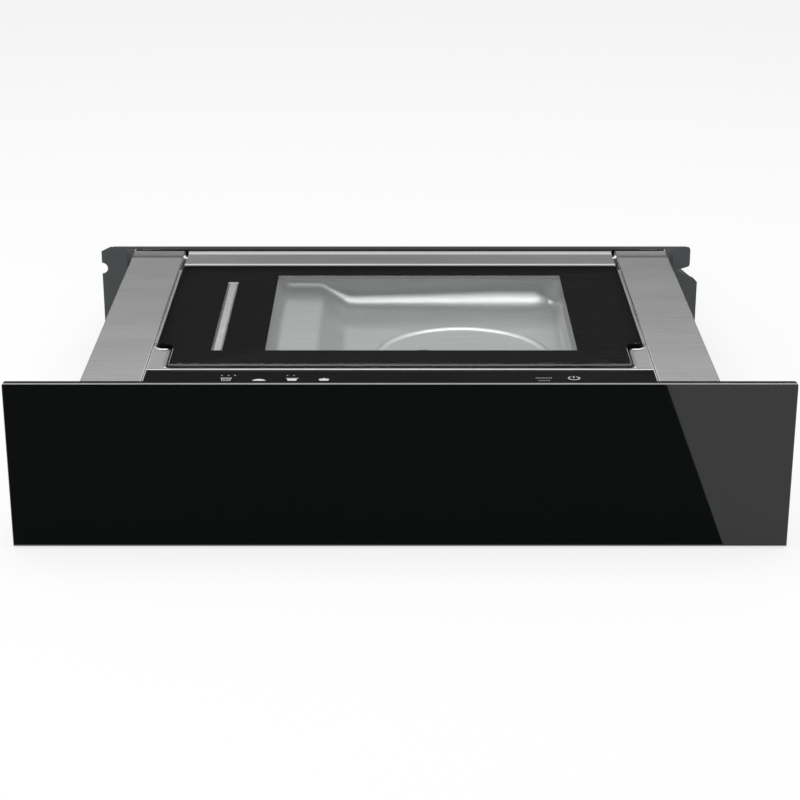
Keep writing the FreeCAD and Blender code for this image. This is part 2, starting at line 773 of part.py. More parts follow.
def deck():
    part = body("deck")
    pad(part, "XY", f"({SEAT_TOP} - sheet)", DECK_TOP,
        rectangle(both(DECK_HALF), (f"({PANEL_BACK} + 2 * sheet)", "deck_rear")))
    pocket(part, "XY", SEAT_TOP, DECK_TOP, lid_outline("lid_joint", "lid_front_joint"))
    well = rectangle(both(DECK_HALF), (LID_REAR, "(deck_rear - sheet)"))
    pocket(part, "XY", SEAT_TOP, DECK_TOP, well)
    controls = rectangle(both(DECK_HALF), (f"({PANEL_BACK} + 2 * sheet)", STRIP_FRONT))
    pocket(part, "XY", CONTROL_UNDER, DECK_TOP, controls)
    below = rectangle(both(f"({DECK_HALF} - sheet)"),
                      (f"({PANEL_BACK} + 3 * sheet)", f"({SEAT_FRONT} - sheet)"))
    pocket(part, "XY", f"({SEAT_TOP} - sheet)", f"({CONTROL_UNDER} - sheet)", below)
    opening = chamber_outline(CHANNEL_LEFT, CHAMBER_RIGHT, "(sheet + rest_gap)")
    pocket(part, "XY", f"({SEAT_TOP} - sheet)", SEAT_TOP, opening)
    for side in (-1, 1):
        across = sided(side, f"({LID_HALF} + lug_gap - rest_gap)", f"({DECK_HALF} + sheet)")
        pocket(part, "XY", f"({SEAT_TOP} - sheet)", DECK_TOP,
               rectangle(across, (LID_REAR, "(deck_rear + sheet)")))
    corner_rear = f"({LID_FRONT} + notch_length + sheet)"
    fillet(part, "lid_corner", lambda e: runs(e, Z) and abs(e.CenterOfMass.x) > number(LID_HALF) * 0.8
           and number(SEAT_FRONT) - 0.1 < e.CenterOfMass.y < number(corner_rear)
           and abs(e.CenterOfMass.x) < number(LID_HALF) + number("lid_joint") + 0.1
           and e.CenterOfMass.z > number(SEAT_TOP))
    return part


def control_glass():
    part = body("control_glass")
    pad(part, "XY", CONTROL_UNDER, DECK_TOP,
        rectangle(both(CONTROL_HALF), (f"({PANEL_BACK} + 3 * sheet)", CONTROL_REAR)))
    chamfer(part, "sheet / 4", lambda e: near(e.BoundBox.ZMin, DECK_TOP))


def control_board():
    """Touch board against the underside of the control strip, with its relays."""
    top = f"({CONTROL_UNDER} - sheet)"
    under = f"({top} - board_thick)"
    front = f"({PANEL_BACK} + relay_size)"
    pieces = [block("board_plate", both(f"({DECK_HALF} - board_inset)"),
                    (front, f"({SEAT_FRONT} - bracket_lip)"),
                    (under, top))]
    for i in range(6):
        pieces.append(block(f"board_relay_{i}", about(f"({i - 2.5} * board_pitch)", "relay_size / 2"),
                            (front, f"({front} + relay_size)"), (f"({under} - relay_height)", under)))
    fuse("control_board", *pieces)


# Vacuum chamber, one pressed sheet: a channel for the sealing bar, a raised shelf, a slope and a deep floor

def pressing(part, kind, g):
    """One side of the pressed sheet, grown by g: the floor's profile carried from front wall to rear."""
    top = RIM_TOP if kind == "Pocket" else f"({RIM_TOP} - sheet)"
    profile = [(f"(0 - {CHAMBER_LEFT} - {g})", top),
               (f"(chamber_draft - {CHAMBER_LEFT} - {g})", f"({SHELF_TOP} - {g})"),
               (minus(SHELF_LEFT), f"({SHELF_TOP} - {g})"), (minus(SLOPE_LEFT), f"({FLOOR_TOP} - {g})"),
               (f"({FLOOR_RIGHT} + {g})", f"({FLOOR_TOP} - {g})"), (f"({CHAMBER_RIGHT} + {g})", top)]
    extrude(part, kind, "XZ", f"({CHAMBER_FRONT} - {g})", f"({CHAMBER_REAR} + {g})", [profile])


def chamber():
    part = body("chamber_sheet")
    rim = rectangle((f"(0 - {CHANNEL_LEFT} - rim_width)", f"({CHAMBER_RIGHT} + rim_width)"),
                    (f"({CHAMBER_FRONT} - rim_width / 2)", f"({CHAMBER_REAR} + rim_width / 2)"))
    pad(part, "XY", SEAT_TOP, RIM_TOP, rim)
    fillet(part, "rim_corner", lambda e: runs(e, Z))
    channel = (CHANNEL_LEFT, minus(CHANNEL_RIGHT))
    pressing(part, "Pad", "sheet")
    pad(part, "XY", f"({CHANNEL_TOP} - sheet)", SEAT_TOP, chamber_outline(*channel, "sheet"))
    pressing(part, "Pocket", "0")
    front, rear, left = number(CHAMBER_FRONT), number(CHAMBER_REAR), number(minus(CHAMBER_LEFT))
    top, low, shelf = number(RIM_TOP), number(FLOOR_TOP), number(SHELF_TOP)
    slack, thick = 0.01, number("sheet")

    def upright(edge):
        """An edge where the front or the rear wall meets a side wall."""
        box = edge.BoundBox
        on_wall = box.YLength < slack and (abs(box.YMin - front) < slack or abs(box.YMin - rear) < slack)
        full = abs(box.ZMax - top) < slack and box.ZMin > low - slack
        return on_wall and full and box.XLength < box.ZLength

    def inside(edge):
        """An edge of the floor, the slope or the shelf."""
        box = edge.BoundBox
        across = box.YMin > front - slack and box.YMax < rear + slack and box.XMin > left
        return across and box.ZMin > low - slack and box.ZMax < shelf + slack

    def crosses(edge):
        """An edge inside that runs all the way from the front wall to the rear wall."""
        return inside(edge) and edge.BoundBox.YLength > rear - front - thick

    fillet(part, "chamber_corner / 2", lambda e: upright(e) and e.CenterOfMass.x < 0)
    fillet(part, "chamber_corner", lambda e: upright(e) and e.CenterOfMass.x > 0)
    fillet(part, "slope_bend", crosses)
    fillet(part, "chamber_fillet", lambda e: inside(e) and not crosses(e))
    pocket(part, "XY", CHANNEL_TOP, RIM_TOP, chamber_outline(*channel, "0"))
    pocket(part, "XY", f"({FLOOR_TOP} - 2 * sheet)", RIM_TOP, (PORT_X, RING_Y, "port_radius"))
    for y in ROD_SPOTS:
        pocket(part, "XY", f"({CHANNEL_TOP} - sheet)", CHANNEL_TOP, (BAR_X, y, "(rod_radius + rest_gap)"))
    bead = "((ring_half * ring_half + ring_rise * ring_rise) / (2 * ring_rise))"
    ring = add("Part::Torus", "ring_tube")
    bind(ring, "Radius1", RING_RADIUS)
    bind(ring, "Radius2", bead)
    place(ring, RING_X, RING_Y, f"({FLOOR_TOP} + ring_rise - {bead})")
    reach = f"({RING_RADIUS} + ring_half)"
    crown = common("chamber_ring", ring, block("ring_space", about(RING_X, reach), about(RING_Y, reach),
                                               (f"({FLOOR_TOP} - sheet / 2)", SHELF_TOP)))
    fuse("chamber", part, crown)


def chamber_seal():
    """Rubber ring on the rim, round the channel and the chamber."""
    part = body("chamber_seal")
    high = f"({PRINT_UNDER} - rest_gap)"
    pad(part, "XY", RIM_TOP, high, chamber_outline(CHANNEL_LEFT, CHAMBER_RIGHT, "(seal_width + seal_inset)"))
    pocket(part, "XY", RIM_TOP, high, chamber_outline(CHANNEL_LEFT, CHAMBER_RIGHT, "seal_inset"))
    fillet(part, "rim_width / 2", lambda e: runs(e, Z))


def suction_filter():
    """Plastic strainer that snaps into the hole in the chamber's floor."""
    spot = (PORT_X, RING_Y)
    neck_low = f"({FLOOR_TOP} - neck_length)"
    spigot_low = f"({neck_low} - spigot_length)"
    top = f"({FLOOR_TOP} + filter_rise)"
    flange = rod("filter_flange", "(port_radius + filter_lip)", "Z", FLOOR_TOP, top, *spot)
    neck = rod("filter_neck", "(port_radius - rest_gap)", "Z", neck_low, FLOOR_TOP, *spot)
    spigot = rod("filter_spigot", SPIGOT, "Z", spigot_low, neck_low, *spot)
    bore = rod("filter_bore", f"({SPIGOT} - sheet)", "Z", f"({spigot_low} - sheet)", f"({top} + sheet)",
               *spot)
    cut("suction_filter", fuse("filter_solid", flange, neck, spigot), bore)


# Sealing bar and its lift

def sealing_bar():
    """Aluminium bar with a foot along each side, guide rods, heater strip and end clamps."""
    part = body("sealing_bar")
    left, right = about(BAR_X, "(bar_width / 2)")
    outer_left, outer_right = about(BAR_X, "(bar_width / 2 + bar_foot)")
    step = f"({BAR_UNDER} + bar_foot_height)"
    shape = [(outer_left, BAR_UNDER), (outer_right, BAR_UNDER), (outer_right, step), (right, step),
             (right, BAR_TOP),
             (left, BAR_TOP), (left, step), (outer_left, step)]
    pad(part, "XZ", *about(BAR_Y, "(bar_length / 2)"), shape)
    block("heater_strip", about(BAR_X, "(strip_width / 2)"),
          about(BAR_Y, "(bar_length / 2 - clamp_length - clamp_rise)"), (BAR_TOP, STRIP_TOP))
    clamps = []
    for side in (-1, 1):
        middle = f"({BAR_Y} + {side} * (bar_length - clamp_length) / 2)"
        clamps.append(block(f"clamp_{side}", (left, right), about(middle, "(clamp_length / 2)"),
                            (BAR_TOP, f"({STRIP_TOP} + clamp_rise)")))
    group("heater_clamps", *clamps)
    foot = f"({CHANNEL_TOP} - cylinder_height + rod_spare)"
    group("lift_rods", *[rod(f"lift_rod_{i}", "rod_radius", "Z", foot, BAR_UNDER, BAR_X, y)
                         for i, y in enumerate(ROD_SPOTS)])


def lift_cylinders():
    """Two air cylinders under the channel, each with a running bore for its rod and a pipe nipple."""
    top = f"({CHANNEL_TOP} - sheet)"
    bottom = f"({top} - cylinder_height - bar_lift)"
    side = f"({BAR_X} + cylinder_radius)"
    solids = []
    for i, y in enumerate(ROD_SPOTS):
        barrel = rod(f"barrel_{i}", "cylinder_radius", "Z", bottom, top, BAR_X, y)
        nipple = rod(f"nipple_{i}", "(pipe_radius / 2)", "X", f"({side} - sheet)",
                     f"({side} + nipple_length)", y,
                     f"({bottom} + pipe_radius)")
        bore = rod(f"bore_{i}", "(rod_radius + pin_play)", "Z", f"({bottom} + 2 * sheet)", f"({top} + sheet)",
                   BAR_X, y)
        solids.append(cut(f"cylinder_{i}", fuse(f"cylinder_solid_{i}", barrel, nipple), bore))
    group("lift_cylinders", *solids)


# Lid

def lid_glass():
    part = body("lid_glass")
    pad(part, "XY", LID_UNDER, LID_TOP, lid_outline("0", "0"))
    fillet(part, "lid_corner", lambda e: runs(e, Z) and e.CenterOfMass.y < number(LID_REAR) - number("sheet"))
    chamfer(part, "print_thick * 2",
            lambda e: near(e.BoundBox.ZMin, LID_TOP) and not near(e.BoundBox.YMin, LID_REAR))


def lid_print():
    """Black layer under the glass, with a wide window over the chamber and a narrow one over the bar."""
    part = body("lid_print")
    pad(part, "XY", PRINT_UNDER, LID_UNDER, lid_outline("(0 - print_thick)", "(0 - print_thick)"))
    fillet(part, "lid_corner", lambda e: runs(e, Z) and e.CenterOfMass.y < number(LID_REAR) - number("sheet"))
    across = (f"(0 - {CHAMBER_LEFT} - window_lap)", f"({CHAMBER_RIGHT} - window_cover)")
    pocket(part, "XY", PRINT_UNDER, LID_UNDER, rectangle(across, (WINDOW_FRONT, WINDOW_REAR)))
    pocket(part, "XY", PRINT_UNDER, LID_UNDER,
           rectangle(about(BAR_X, "(slot_width / 2)"), (WINDOW_FRONT, SLOT_REAR)))


def counter_bar():
    """Silicone bar on the lid that the sealing bar presses against, and the clip at its rear end."""
    rear = f"({SLOT_REAR} - clip_length)"
    block("counter_bar", about(BAR_X, "(silicone_width / 2)"), (f"({WINDOW_FRONT} + rest_gap)", rear),
          (SILICONE_UNDER, LID_UNDER))
    block("counter_bar_clip", about(BAR_X, "(slot_width / 2 - rest_gap)"),
          (rear, f"({SLOT_REAR} - rest_gap)"),
          (f"({PRINT_UNDER} - 2 * sheet)", LID_UNDER))


def hinge_beam():
    """Steel profile along the lid's rear edge: a ridge, a groove, a flat and a lip over the joint."""
    part = body("hinge_beam")
    groove = f"({BEAM_REAR} - beam_ridge)"
    flat = f"({groove} - beam_groove)"
    lip = f"({LID_REAR} + beam_lip)"
    bottom = f"({LID_TOP} - beam_height)"
    step = "(sheet / 2)"
    shape = [(BEAM_REAR, bottom), (BEAM_REAR, LID_TOP), (groove, LID_TOP),
             (f"({groove} - {step})", f"({LID_TOP} - 2 * {step})"), (flat, f"({LID_TOP} - 2 * {step})"),
             (f"({flat} - {step})", f"({LID_TOP} - {step})"), (f"({lip} + {step})", f"({LID_TOP} - {step})"),
             (lip, LID_TOP), (LID_REAR, LID_TOP), (LID_REAR, PRINT_UNDER),
             (f"({LID_REAR} - beam_ledge)", PRINT_UNDER), (f"({LID_REAR} - beam_ledge)", bottom)]
    pad(part, "YZ", minus(LID_HALF), LID_HALF, shape)
    fillet(part, "sheet",
           lambda e: runs(e, X) and near(e.CenterOfMass.y, BEAM_REAR) and near(e.CenterOfMass.z, LID_TOP))
    pins = []
    for side in (-1, 1):
        low, high = sided(side, f"({WALL_FACE} - pin_length)", WALL_FACE)
        pocket(part, "YZ", low, high, (HINGE_Y, HINGE_Z, "(pin_radius + pin_play)"))
        pins.append(rod(f"pin_{side}", "pin_radius", "X", low, high, HINGE_Y, HINGE_Z))
    group("hinge_pins", *pins)


def hinge_bracket_left():
    """Upright lug with the pin's eye, screwed to the inner wall."""
    part = body("hinge_bracket_left")
    outer, inner = minus(WALL_FACE), minus(f"({LID_HALF} + lug_gap)")
    foot = f"({SEAT_TOP} - 2 * lug_half)"
    shape = [(f"({HINGE_Y} - lug_half)", foot), (f"({HINGE_Y} + lug_half)", foot),
             (f"({HINGE_Y} + eye_radius)", HINGE_Z), (f"({HINGE_Y} - eye_radius)", HINGE_Z)]
    pad(part, "YZ", outer, inner, shape)
    pad(part, "YZ", outer, inner, (HINGE_Y, HINGE_Z, "eye_radius"))
    pocket(part, "YZ", outer, inner, (HINGE_Y, HINGE_Z, "(pin_radius + pin_play)"))
    return part


# Works

def pump():
    """Pump head with cooling fins beside its motor, on a plate that stands on rubber mounts."""
    plate_under = f"({TRAY_FLOOR} + mount_height)"
    plate_top = f"({plate_under} + sheet)"
    centre = f"({plate_top} + motor_radius + rest_gap)"
    head_left, head_right = about(PORT_X, "(pump_head_length / 2)")
    motor_left = f"({CORE_RIGHT} + motor_gap + motor_cap_length)"
    across = (f"({motor_left} - motor_cap_length)", f"({head_right} + plate_margin)")
    depth = about("pump_y", "(motor_radius + plate_margin)")
    block("pump_plate", across, depth, (plate_under, plate_top))
    corners = [(x, y) for x in (f"({across[0]} + mount_inset)", f"({across[1]} - mount_inset)")
               for y in (f"({depth[0]} + mount_inset)", f"({depth[1]} - mount_inset)")]
    group("pump_mounts", *[rod(f"mount_{i}", "mount_radius", "Z", TRAY_FLOOR, plate_under, x, y)
                           for i, (x, y) in enumerate(corners)])
    shell = rod("motor_shell", "motor_radius", "X", motor_left, head_left, "pump_y", centre)
    cap = rod("motor_cap", "(motor_radius / 3)", "X", across[0], motor_left, "pump_y", centre)
    feet = block("motor_feet", (f"({motor_left} + motor_foot_inset)", f"({head_left} - motor_foot_inset)"),
                 about("pump_y", "motor_foot_half"), (plate_top, centre))
    fuse("pump_motor", shell, cap, feet)
    half = "(motor_radius - 2 * sheet)"
    core = block("head_core", (head_left, head_right), about("pump_y", f"({half} - fin_reach)"),
                 (plate_top, f"({plate_top} + pump_head_height)"))
    fins = []
    for i in range(6):
        start = f"({head_left} + fin_thick + {i} * fin_pitch)"
        fins.append(block(f"head_fin_{i}", (start, f"({start} + fin_thick)"), about("pump_y", half),
                          (f"({plate_top} + fin_low)", f"({plate_top} + fin_high)")))
    inlet = rod("head_inlet", SPIGOT, "Y", "(pump_y - motor_radius - 2 * spigot_length)", "pump_y", PORT_X,
                PIPE_LEVEL)
    fuse("pump_head", core, inlet, *fins)


def vacuum_pipe():
    """Pipe from under the chamber's floor down and back to the pump, with one bend."""
    part = body("vacuum_pipe")
    bend = "(4 * pipe_radius)"
    top, low, start = f"({FLOOR_TOP} - neck_length - rest_gap)", PIPE_LEVEL, RING_Y
    finish = "(pump_y - motor_radius - spigot_length)"
    spine = sketch(part, "YZ", PORT_X)
    bend_top, bend_rear = f"({low} + {bend})", f"({start} + {bend})"
    middle = (f"({start} + {bend} * (1 - cos(45)))", f"({low} + {bend} * (1 - sin(45)))")
    route = [(start, top), (start, bend_top), middle, (bend_rear, low), (finish, low)]
    point = [FreeCAD.Vector(number(a), number(b), 0) for a, b in route]
    spine.addGeometry(Part.LineSegment(point[0], point[1]))
    spine.addGeometry(Part.Arc(point[1], point[2], point[3]))
    spine.addGeometry(Part.LineSegment(point[3], point[4]))
    for element, end, (a, b) in ((0, 1, route[0]), (0, 2, route[1]), (2, 1, route[3]), (2, 2, route[4]),
                                 (1, 3, (bend_rear, bend_top))):
        hold(spine, "DistanceX", element, end, a)
        hold(spine, "DistanceY", element, end, b)
    ring = sketch(part, "XY", top)
    circle(ring, PORT_X, start, "pipe_radius")
    circle(ring, PORT_X, start, "(pipe_radius - pipe_wall)")
    pipe = part.newObject("PartDesign::AdditivePipe", "bent_pipe")
    pipe.Profile = ring
    pipe.Spine = spine
    doc.recompute()


def transformer():
    """Laminated core with its coil, for the sealing current."""
    left = f"(core_gap - {TRAY_HALF})"
    core = block("core", (left, CORE_RIGHT), about("pump_y", "(core_depth / 2)"),
                 (TRAY_FLOOR, f"({TRAY_FLOOR} + core_height)"))
    coil = block("coil", (f"({left} + coil_inset)", f"({CORE_RIGHT} - coil_inset)"),
                 about("pump_y", "(coil_length / 2)"),
                 (f"({TRAY_FLOOR} + coil_inset)", f"({TRAY_FLOOR} + core_height - coil_inset)"))
    fuse("transformer", core, coil)


def power_board():
    """Board on four posts, with relays and capacitors."""
    x = (f"({PORT_X} + pump_head_length / 2 + board_gap)", f"({TRAY_HALF} - board_margin)")
    y = ("board_front", "(tray_tail - board_rear)")
    level = f"({TRAY_FLOOR} + post_height)"
    top = f"({level} + board_thick)"
    pieces = [block("power_plate", x, y, (level, top))]
    corners = [(a, b) for a in (f"({x[0]} + post_inset)", f"({x[1]} - post_inset)")
               for b in (f"({y[0]} + post_inset)", f"({y[1]} - post_inset)")]
    pieces += [rod(f"post_{i}", "post_radius", "Z", TRAY_FLOOR, level, a, b) for i,
               (a, b) in enumerate(corners)]
    for i in range(3):
        start = f"({x[0]} + power_inset + {i} * power_pitch)"
        pieces.append(block(f"relay_{i}", (start, f"({start} + power_relay)"),
                            (f"({y[0]} + power_inset)", f"({y[0]} + power_inset + power_relay_depth)"),
                            (top, f"({top} + power_height)")))
        pieces.append(rod(f"capacitor_{i}", "capacitor_radius", "Z", top, f"({top} + capacitor_height)",
                          f"({start} + capacitor_radius)", f"({y[0]} + capacitor_y)"))
    fuse("power_board", *pieces)


def vent_valve():
    """Solenoid on a stand."""
    x = (f"({PORT_X} + valve_gap)", f"({PORT_X} + valve_gap + valve_size)")
    y = (f"({RING_Y} + 2 * valve_size)", f"({RING_Y} + 3 * valve_size)")
    top = f"({TRAY_FLOOR} + valve_size)"
    stand = block("valve_stand", x, y, (TRAY_FLOOR, top))
    solenoid = rod("valve_coil", "valve_radius", "Z", top, f"({top} + valve_size)",
                   f"(({x[0]} + {x[1]}) / 2)",
                   f"(({y[0]} + {y[1]}) / 2)")
    fuse("vent_valve", stand, solenoid)


def rear_cover():
    """Lid over the works: a slope down from the deck, then a flat with vent slots."""
    part = body("rear_cover")
    start = "(deck_rear + rest_gap)"
    top = "(tail_height + sheet)"
    shape = [(start, DECK_UNDER), ("slope_foot", "tail_height"), ("tray_tail", "tail_height"),
             ("tray_tail", top),
             ("(slope_foot + sheet / 2)", top), (start, f"({DECK_UNDER} + 1.5 * sheet)")]
    pad(part, "YZ", minus(TRAY_HALF), TRAY_HALF, shape)
    y = ("(pump_y + cover_slot_y)", "(pump_y + cover_slot_y + cover_slot_width)")
    slots = [rectangle(about(f"({i} * cover_slot_pitch)", "(cover_slot_length / 2)"), y) for i in range(-5,
                                                                                                        6)]
    pocket(part, "XY", "(tail_height - sheet)", f"({top} + sheet)", *slots)
    spots = [(f"({i} * ({TRAY_HALF} - coil_inset))", y) for i in (-1, 0, 1)
             for y in ("(slope_foot + coil_inset)", "(tray_tail - coil_inset)")]
    group("cover_screws",
          *[rod(f"cover_screw_{i}", "head_radius", "Z", top, f"({top} + head_height / 2)", x, y)
                            for i, (x, y) in enumerate(spots)])


def push_latch():
    """Push latch behind the right ear. The panel's buffer meets its plunger when the drawer is shut."""
    end = "(sheet + latch_depth)"
    box = block("latch_box", (f"({EAR_MIDDLE} - latch_half)", WALL_INNER), ("sheet", end),
                ("(latch_centre - latch_half)", "(latch_centre + latch_half)"))
    bore = rod("latch_bore", "(plunger_radius + pin_play)", "Y", "0", f"({end} - sheet)", EAR_MIDDLE,
               "latch_centre")
    cut("latch_housing", box, bore)
    rod("latch_plunger", "plunger_radius", "Y", "0", f"({end} - 2 * sheet - latch_stroke)", EAR_MIDDLE,
        "latch_centre")


def inlet_span(grow):
    """Outline of the mains inlet, grown on every side."""
    return (about(INLET_X, f"(inlet_width / 2 + {grow})"),
            (f"(inlet_lift - {grow})", f"(inlet_lift + inlet_height + {grow})"))


def mains_inlet():
    """Appliance inlet in the tray's rear wall: a recess with three flat pins, open to the rear."""
    front = "(tray_tail - inlet_depth)"
    x, z = inlet_span("0")
    shell = block("inlet_shell", x, (front, "(tray_tail + sheet)"), z)
    x, z = inlet_span("(0 - 2 * sheet)")
    hollow = block("inlet_hollow", x, (f"({front} + 2 * sheet)", "(tray_tail + 2 * sheet)"), z)
    pins = []
    for i in (-1, 0, 1):
        centre = f"({INLET_X} + {i} * inlet_width / 4)"
        middle = f"(inlet_lift + inlet_height / 2 + {1 - abs(i)} * sheet)"
        pins.append(block(f"inlet_pin_{i + 1}", (f"({centre} - sheet)", f"({centre} + sheet)"),
                          (front, "(tray_tail - 2 * sheet)"),
                          (f"({middle} - 2 * sheet)", f"({middle} + 2 * sheet)")))
    fuse("mains_inlet", cut("inlet_cup", shell, hollow), *pins)


NODES = """housing_base housing_side_left housing_side_right front_crossbar
slide_bracket_left slide_bracket_right slide_outer_left slide_outer_right latch_housing mains_inlet
latch_plunger slide_middle_left slide_middle_right slide_inner_left slide_inner_right
slide_cage_outer_left slide_cage_outer_right slide_cage_inner_left slide_cage_inner_right
front_glass front_carrier panel_buffers carrier_screws tray inner_wall_left inner_wall_right
side_cover_left side_cover_right deck control_glass control_board chamber chamber_seal suction_filter
lift_cylinders hinge_bracket_left hinge_bracket_right pump_plate pump_mounts pump_motor pump_head
vacuum_pipe transformer power_board vent_valve rear_cover cover_screws
sealing_bar heater_strip heater_clamps lift_rods
lid_glass lid_print counter_bar counter_bar_clip hinge_beam hinge_pins""".split()

for make in (housing_base, housing_sides, front_crossbar, slides, ball_cages, front_glass, front_carrier,
             panel_buffers,
             carrier_screws, tray, deck, control_glass, control_board, chamber, chamber_seal, suction_filter,
             sealing_bar, lift_cylinders, lid_glass, lid_print, counter_bar, hinge_beam, pump, vacuum_pipe,
             transformer, power_board, vent_valve, rear_cover, push_latch, mains_inlet):
    make()
for make in (slide_bracket_left, inner_wall_left, side_cover_left, hinge_bracket_left):
    left = make()
    mirrored(left.Label.replace("left", "right"), left)

doc.recompute()
for thing in doc.Objects:
    if "Invalid" in thing.State or "Error" in thing.State:
        raise ValueError(f"{thing.Label} failed: {thing.State}")
os.makedirs("parts", exist_ok=True)
for name in NODES:
    piece = doc.getObjectsByLabel(name)[0]
    if piece.Shape.isNull() or not piece.Shape.isValid():
        raise ValueError(f"{name} has no valid shape")
    piece.Shape.exportStep(f"parts/{name}.step")
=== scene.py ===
"""Looks of a vacuum sealing drawer, drawn out with its lid shut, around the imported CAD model.

Metres. X is across the front, +Y points into the niche, +Z is up, as in the CAD.
"""

import json
import math

import bmesh
import bpy
import numpy as np
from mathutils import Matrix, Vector


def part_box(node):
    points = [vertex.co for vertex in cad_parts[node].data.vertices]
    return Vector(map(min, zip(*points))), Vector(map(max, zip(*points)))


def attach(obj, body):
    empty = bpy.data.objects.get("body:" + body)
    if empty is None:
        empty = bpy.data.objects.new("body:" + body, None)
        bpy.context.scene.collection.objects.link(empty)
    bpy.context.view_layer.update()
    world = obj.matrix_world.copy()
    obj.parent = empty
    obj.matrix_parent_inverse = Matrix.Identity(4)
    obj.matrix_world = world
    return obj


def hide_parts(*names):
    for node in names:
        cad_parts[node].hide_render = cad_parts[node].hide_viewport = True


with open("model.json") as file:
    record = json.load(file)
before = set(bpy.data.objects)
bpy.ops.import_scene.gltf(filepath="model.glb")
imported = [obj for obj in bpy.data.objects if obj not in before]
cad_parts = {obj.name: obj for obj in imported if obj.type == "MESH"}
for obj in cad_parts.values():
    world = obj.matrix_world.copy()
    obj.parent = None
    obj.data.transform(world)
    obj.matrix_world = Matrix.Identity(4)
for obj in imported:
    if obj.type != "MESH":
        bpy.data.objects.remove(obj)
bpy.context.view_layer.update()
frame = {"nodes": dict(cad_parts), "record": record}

MM = 0.001


# Colours are written as the 0 to 255 values that the eye sees, and turned to linear ones for the shaders.

def shade(red, green=None, blue=None):
    """Linear colour: c / 12.92 below 0.04045, and ((c + 0.055) / 1.055) to the power 2.4 above it."""
    values = [red, red if green is None else green, red if blue is None else blue]
    linear = []
    for value in values:
        c = value / 255
        linear.append(c / 12.92 if c <= 0.04045 else ((c + 0.055) / 1.055) ** 2.4)
    return (*linear, 1.0)


# Node groups: effects that several finishes share

def new_group(name, inputs, outputs):
    """An empty node group with number and colour sockets."""
    tree = bpy.data.node_groups.new(name, "ShaderNodeTree")
    for label, kind, value in inputs:
        socket = tree.interface.new_socket(name=label, in_out="INPUT", socket_type=kind)
        if value is not None:
            socket.default_value = value
    for label, kind in outputs:
        tree.interface.new_socket(name=label, in_out="OUTPUT", socket_type=kind)
    return tree, tree.nodes.new("NodeGroupInput"), tree.nodes.new("NodeGroupOutput")


def node(tree, kind, links=(), **settings):
    """A node with its settings made. links is pairs of an input and the source or value that it takes."""
    made = tree.nodes.new(kind)
    for key, value in settings.items():
        setattr(made, key, value)
    for key, source in links:
        socket = made.inputs[key]
        if isinstance(source, bpy.types.NodeSocket):
            tree.links.new(source, socket)
        else:
            socket.default_value = source
    return made


def fill(made, values):
    """Plain values for some of a node's inputs."""
    for key, value in values.items():
        made.inputs[key].default_value = value


def math_node(tree, operation, first, second=0.0, clamp=False):
    """What a Math node makes of two values."""
    return node(tree, "ShaderNodeMath", [(0, first), (1, second)], operation=operation,
                use_clamp=clamp).outputs[0]


def mix_colour(tree, factor, first, second):
    """The colour between two others at a factor."""
    return node(tree, "ShaderNodeMix", [(0, factor), (6, first), (7, second)], data_type="RGBA").outputs[2]


def ramp(tree, value, first, last, low=0.0, high=1.0):
    """A value from first to last laid over low to high. Beyond them it stays at low or high."""
    return node(tree, "ShaderNodeMapRange", [("Value", value), ("From Min", first), ("From Max", last),
                                             ("To Min", low), ("To Max", high)]).outputs[0]


def found(tree, kind):
    """The node of a kind that a tree has only once."""
    return next(each for each in tree.nodes if each.type == kind)


def seen_rays(tree):
    """1 for the rays that a picture shows: straight from the camera, off gloss or through glass."""
    path = tree.nodes.new("ShaderNodeLightPath")
    seen = math_node(tree, "MAXIMUM", path.outputs["Is Camera Ray"], path.outputs["Is Glossy Ray"])
    return math_node(tree, "MAXIMUM", seen, path.outputs["Is Transmission Ray"])


def noise(tree, vector, scale, detail, rough=0.5):
    """Noise of 0 to 1 at a scale, with finer layers over it."""
    return node(tree, "ShaderNodeTexNoise", [("Vector", vector), ("Scale", scale), ("Detail", detail),
                                             ("Roughness", rough)]).outputs[0]


def brushed_group():
    """Brush lines: noise stretched along one axis, fine lines over broad ones, and a soft cloud. The vector
    that comes in is already scaled, short across the lines and long along them."""
    tree, inward, outward = new_group(
        "BrushLines", [("Vector", "NodeSocketVector", None), ("Cloud Vector", "NodeSocketVector", None)],
        [("Lines", "NodeSocketFloat"), ("Cloud", "NodeSocketFloat")])
    fine = math_node(tree, "MULTIPLY", noise(tree, inward.outputs[0], 1.0, 3.0, 0.62), 0.8)
    broad = math_node(tree, "MULTIPLY", noise(tree, inward.outputs[0], 0.22, 2.0), 0.2)
    tree.links.new(math_node(tree, "ADD", fine, broad), outward.inputs[0])
    tree.links.new(noise(tree, inward.outputs[1], 1.0, 4.0), outward.inputs[1])
    return tree


def speckle_group():
    """Fine grain of a cast, sprayed or moulded surface, and a slow change of tone under it."""
    tree, inward, outward = new_group(
        "Grain", [("Vector", "NodeSocketVector", None), ("Pitch", "NodeSocketFloat", 400.0),
                  ("Patch", "NodeSocketFloat", 14.0)],
        [("Grain", "NodeSocketFloat"), ("Tone", "NodeSocketFloat")])
    tree.links.new(noise(tree, inward.outputs[0], inward.outputs[1], 2.0), outward.inputs[0])
    tree.links.new(noise(tree, inward.outputs[0], inward.outputs[2], 5.0, 0.6), outward.inputs[1])
    return tree


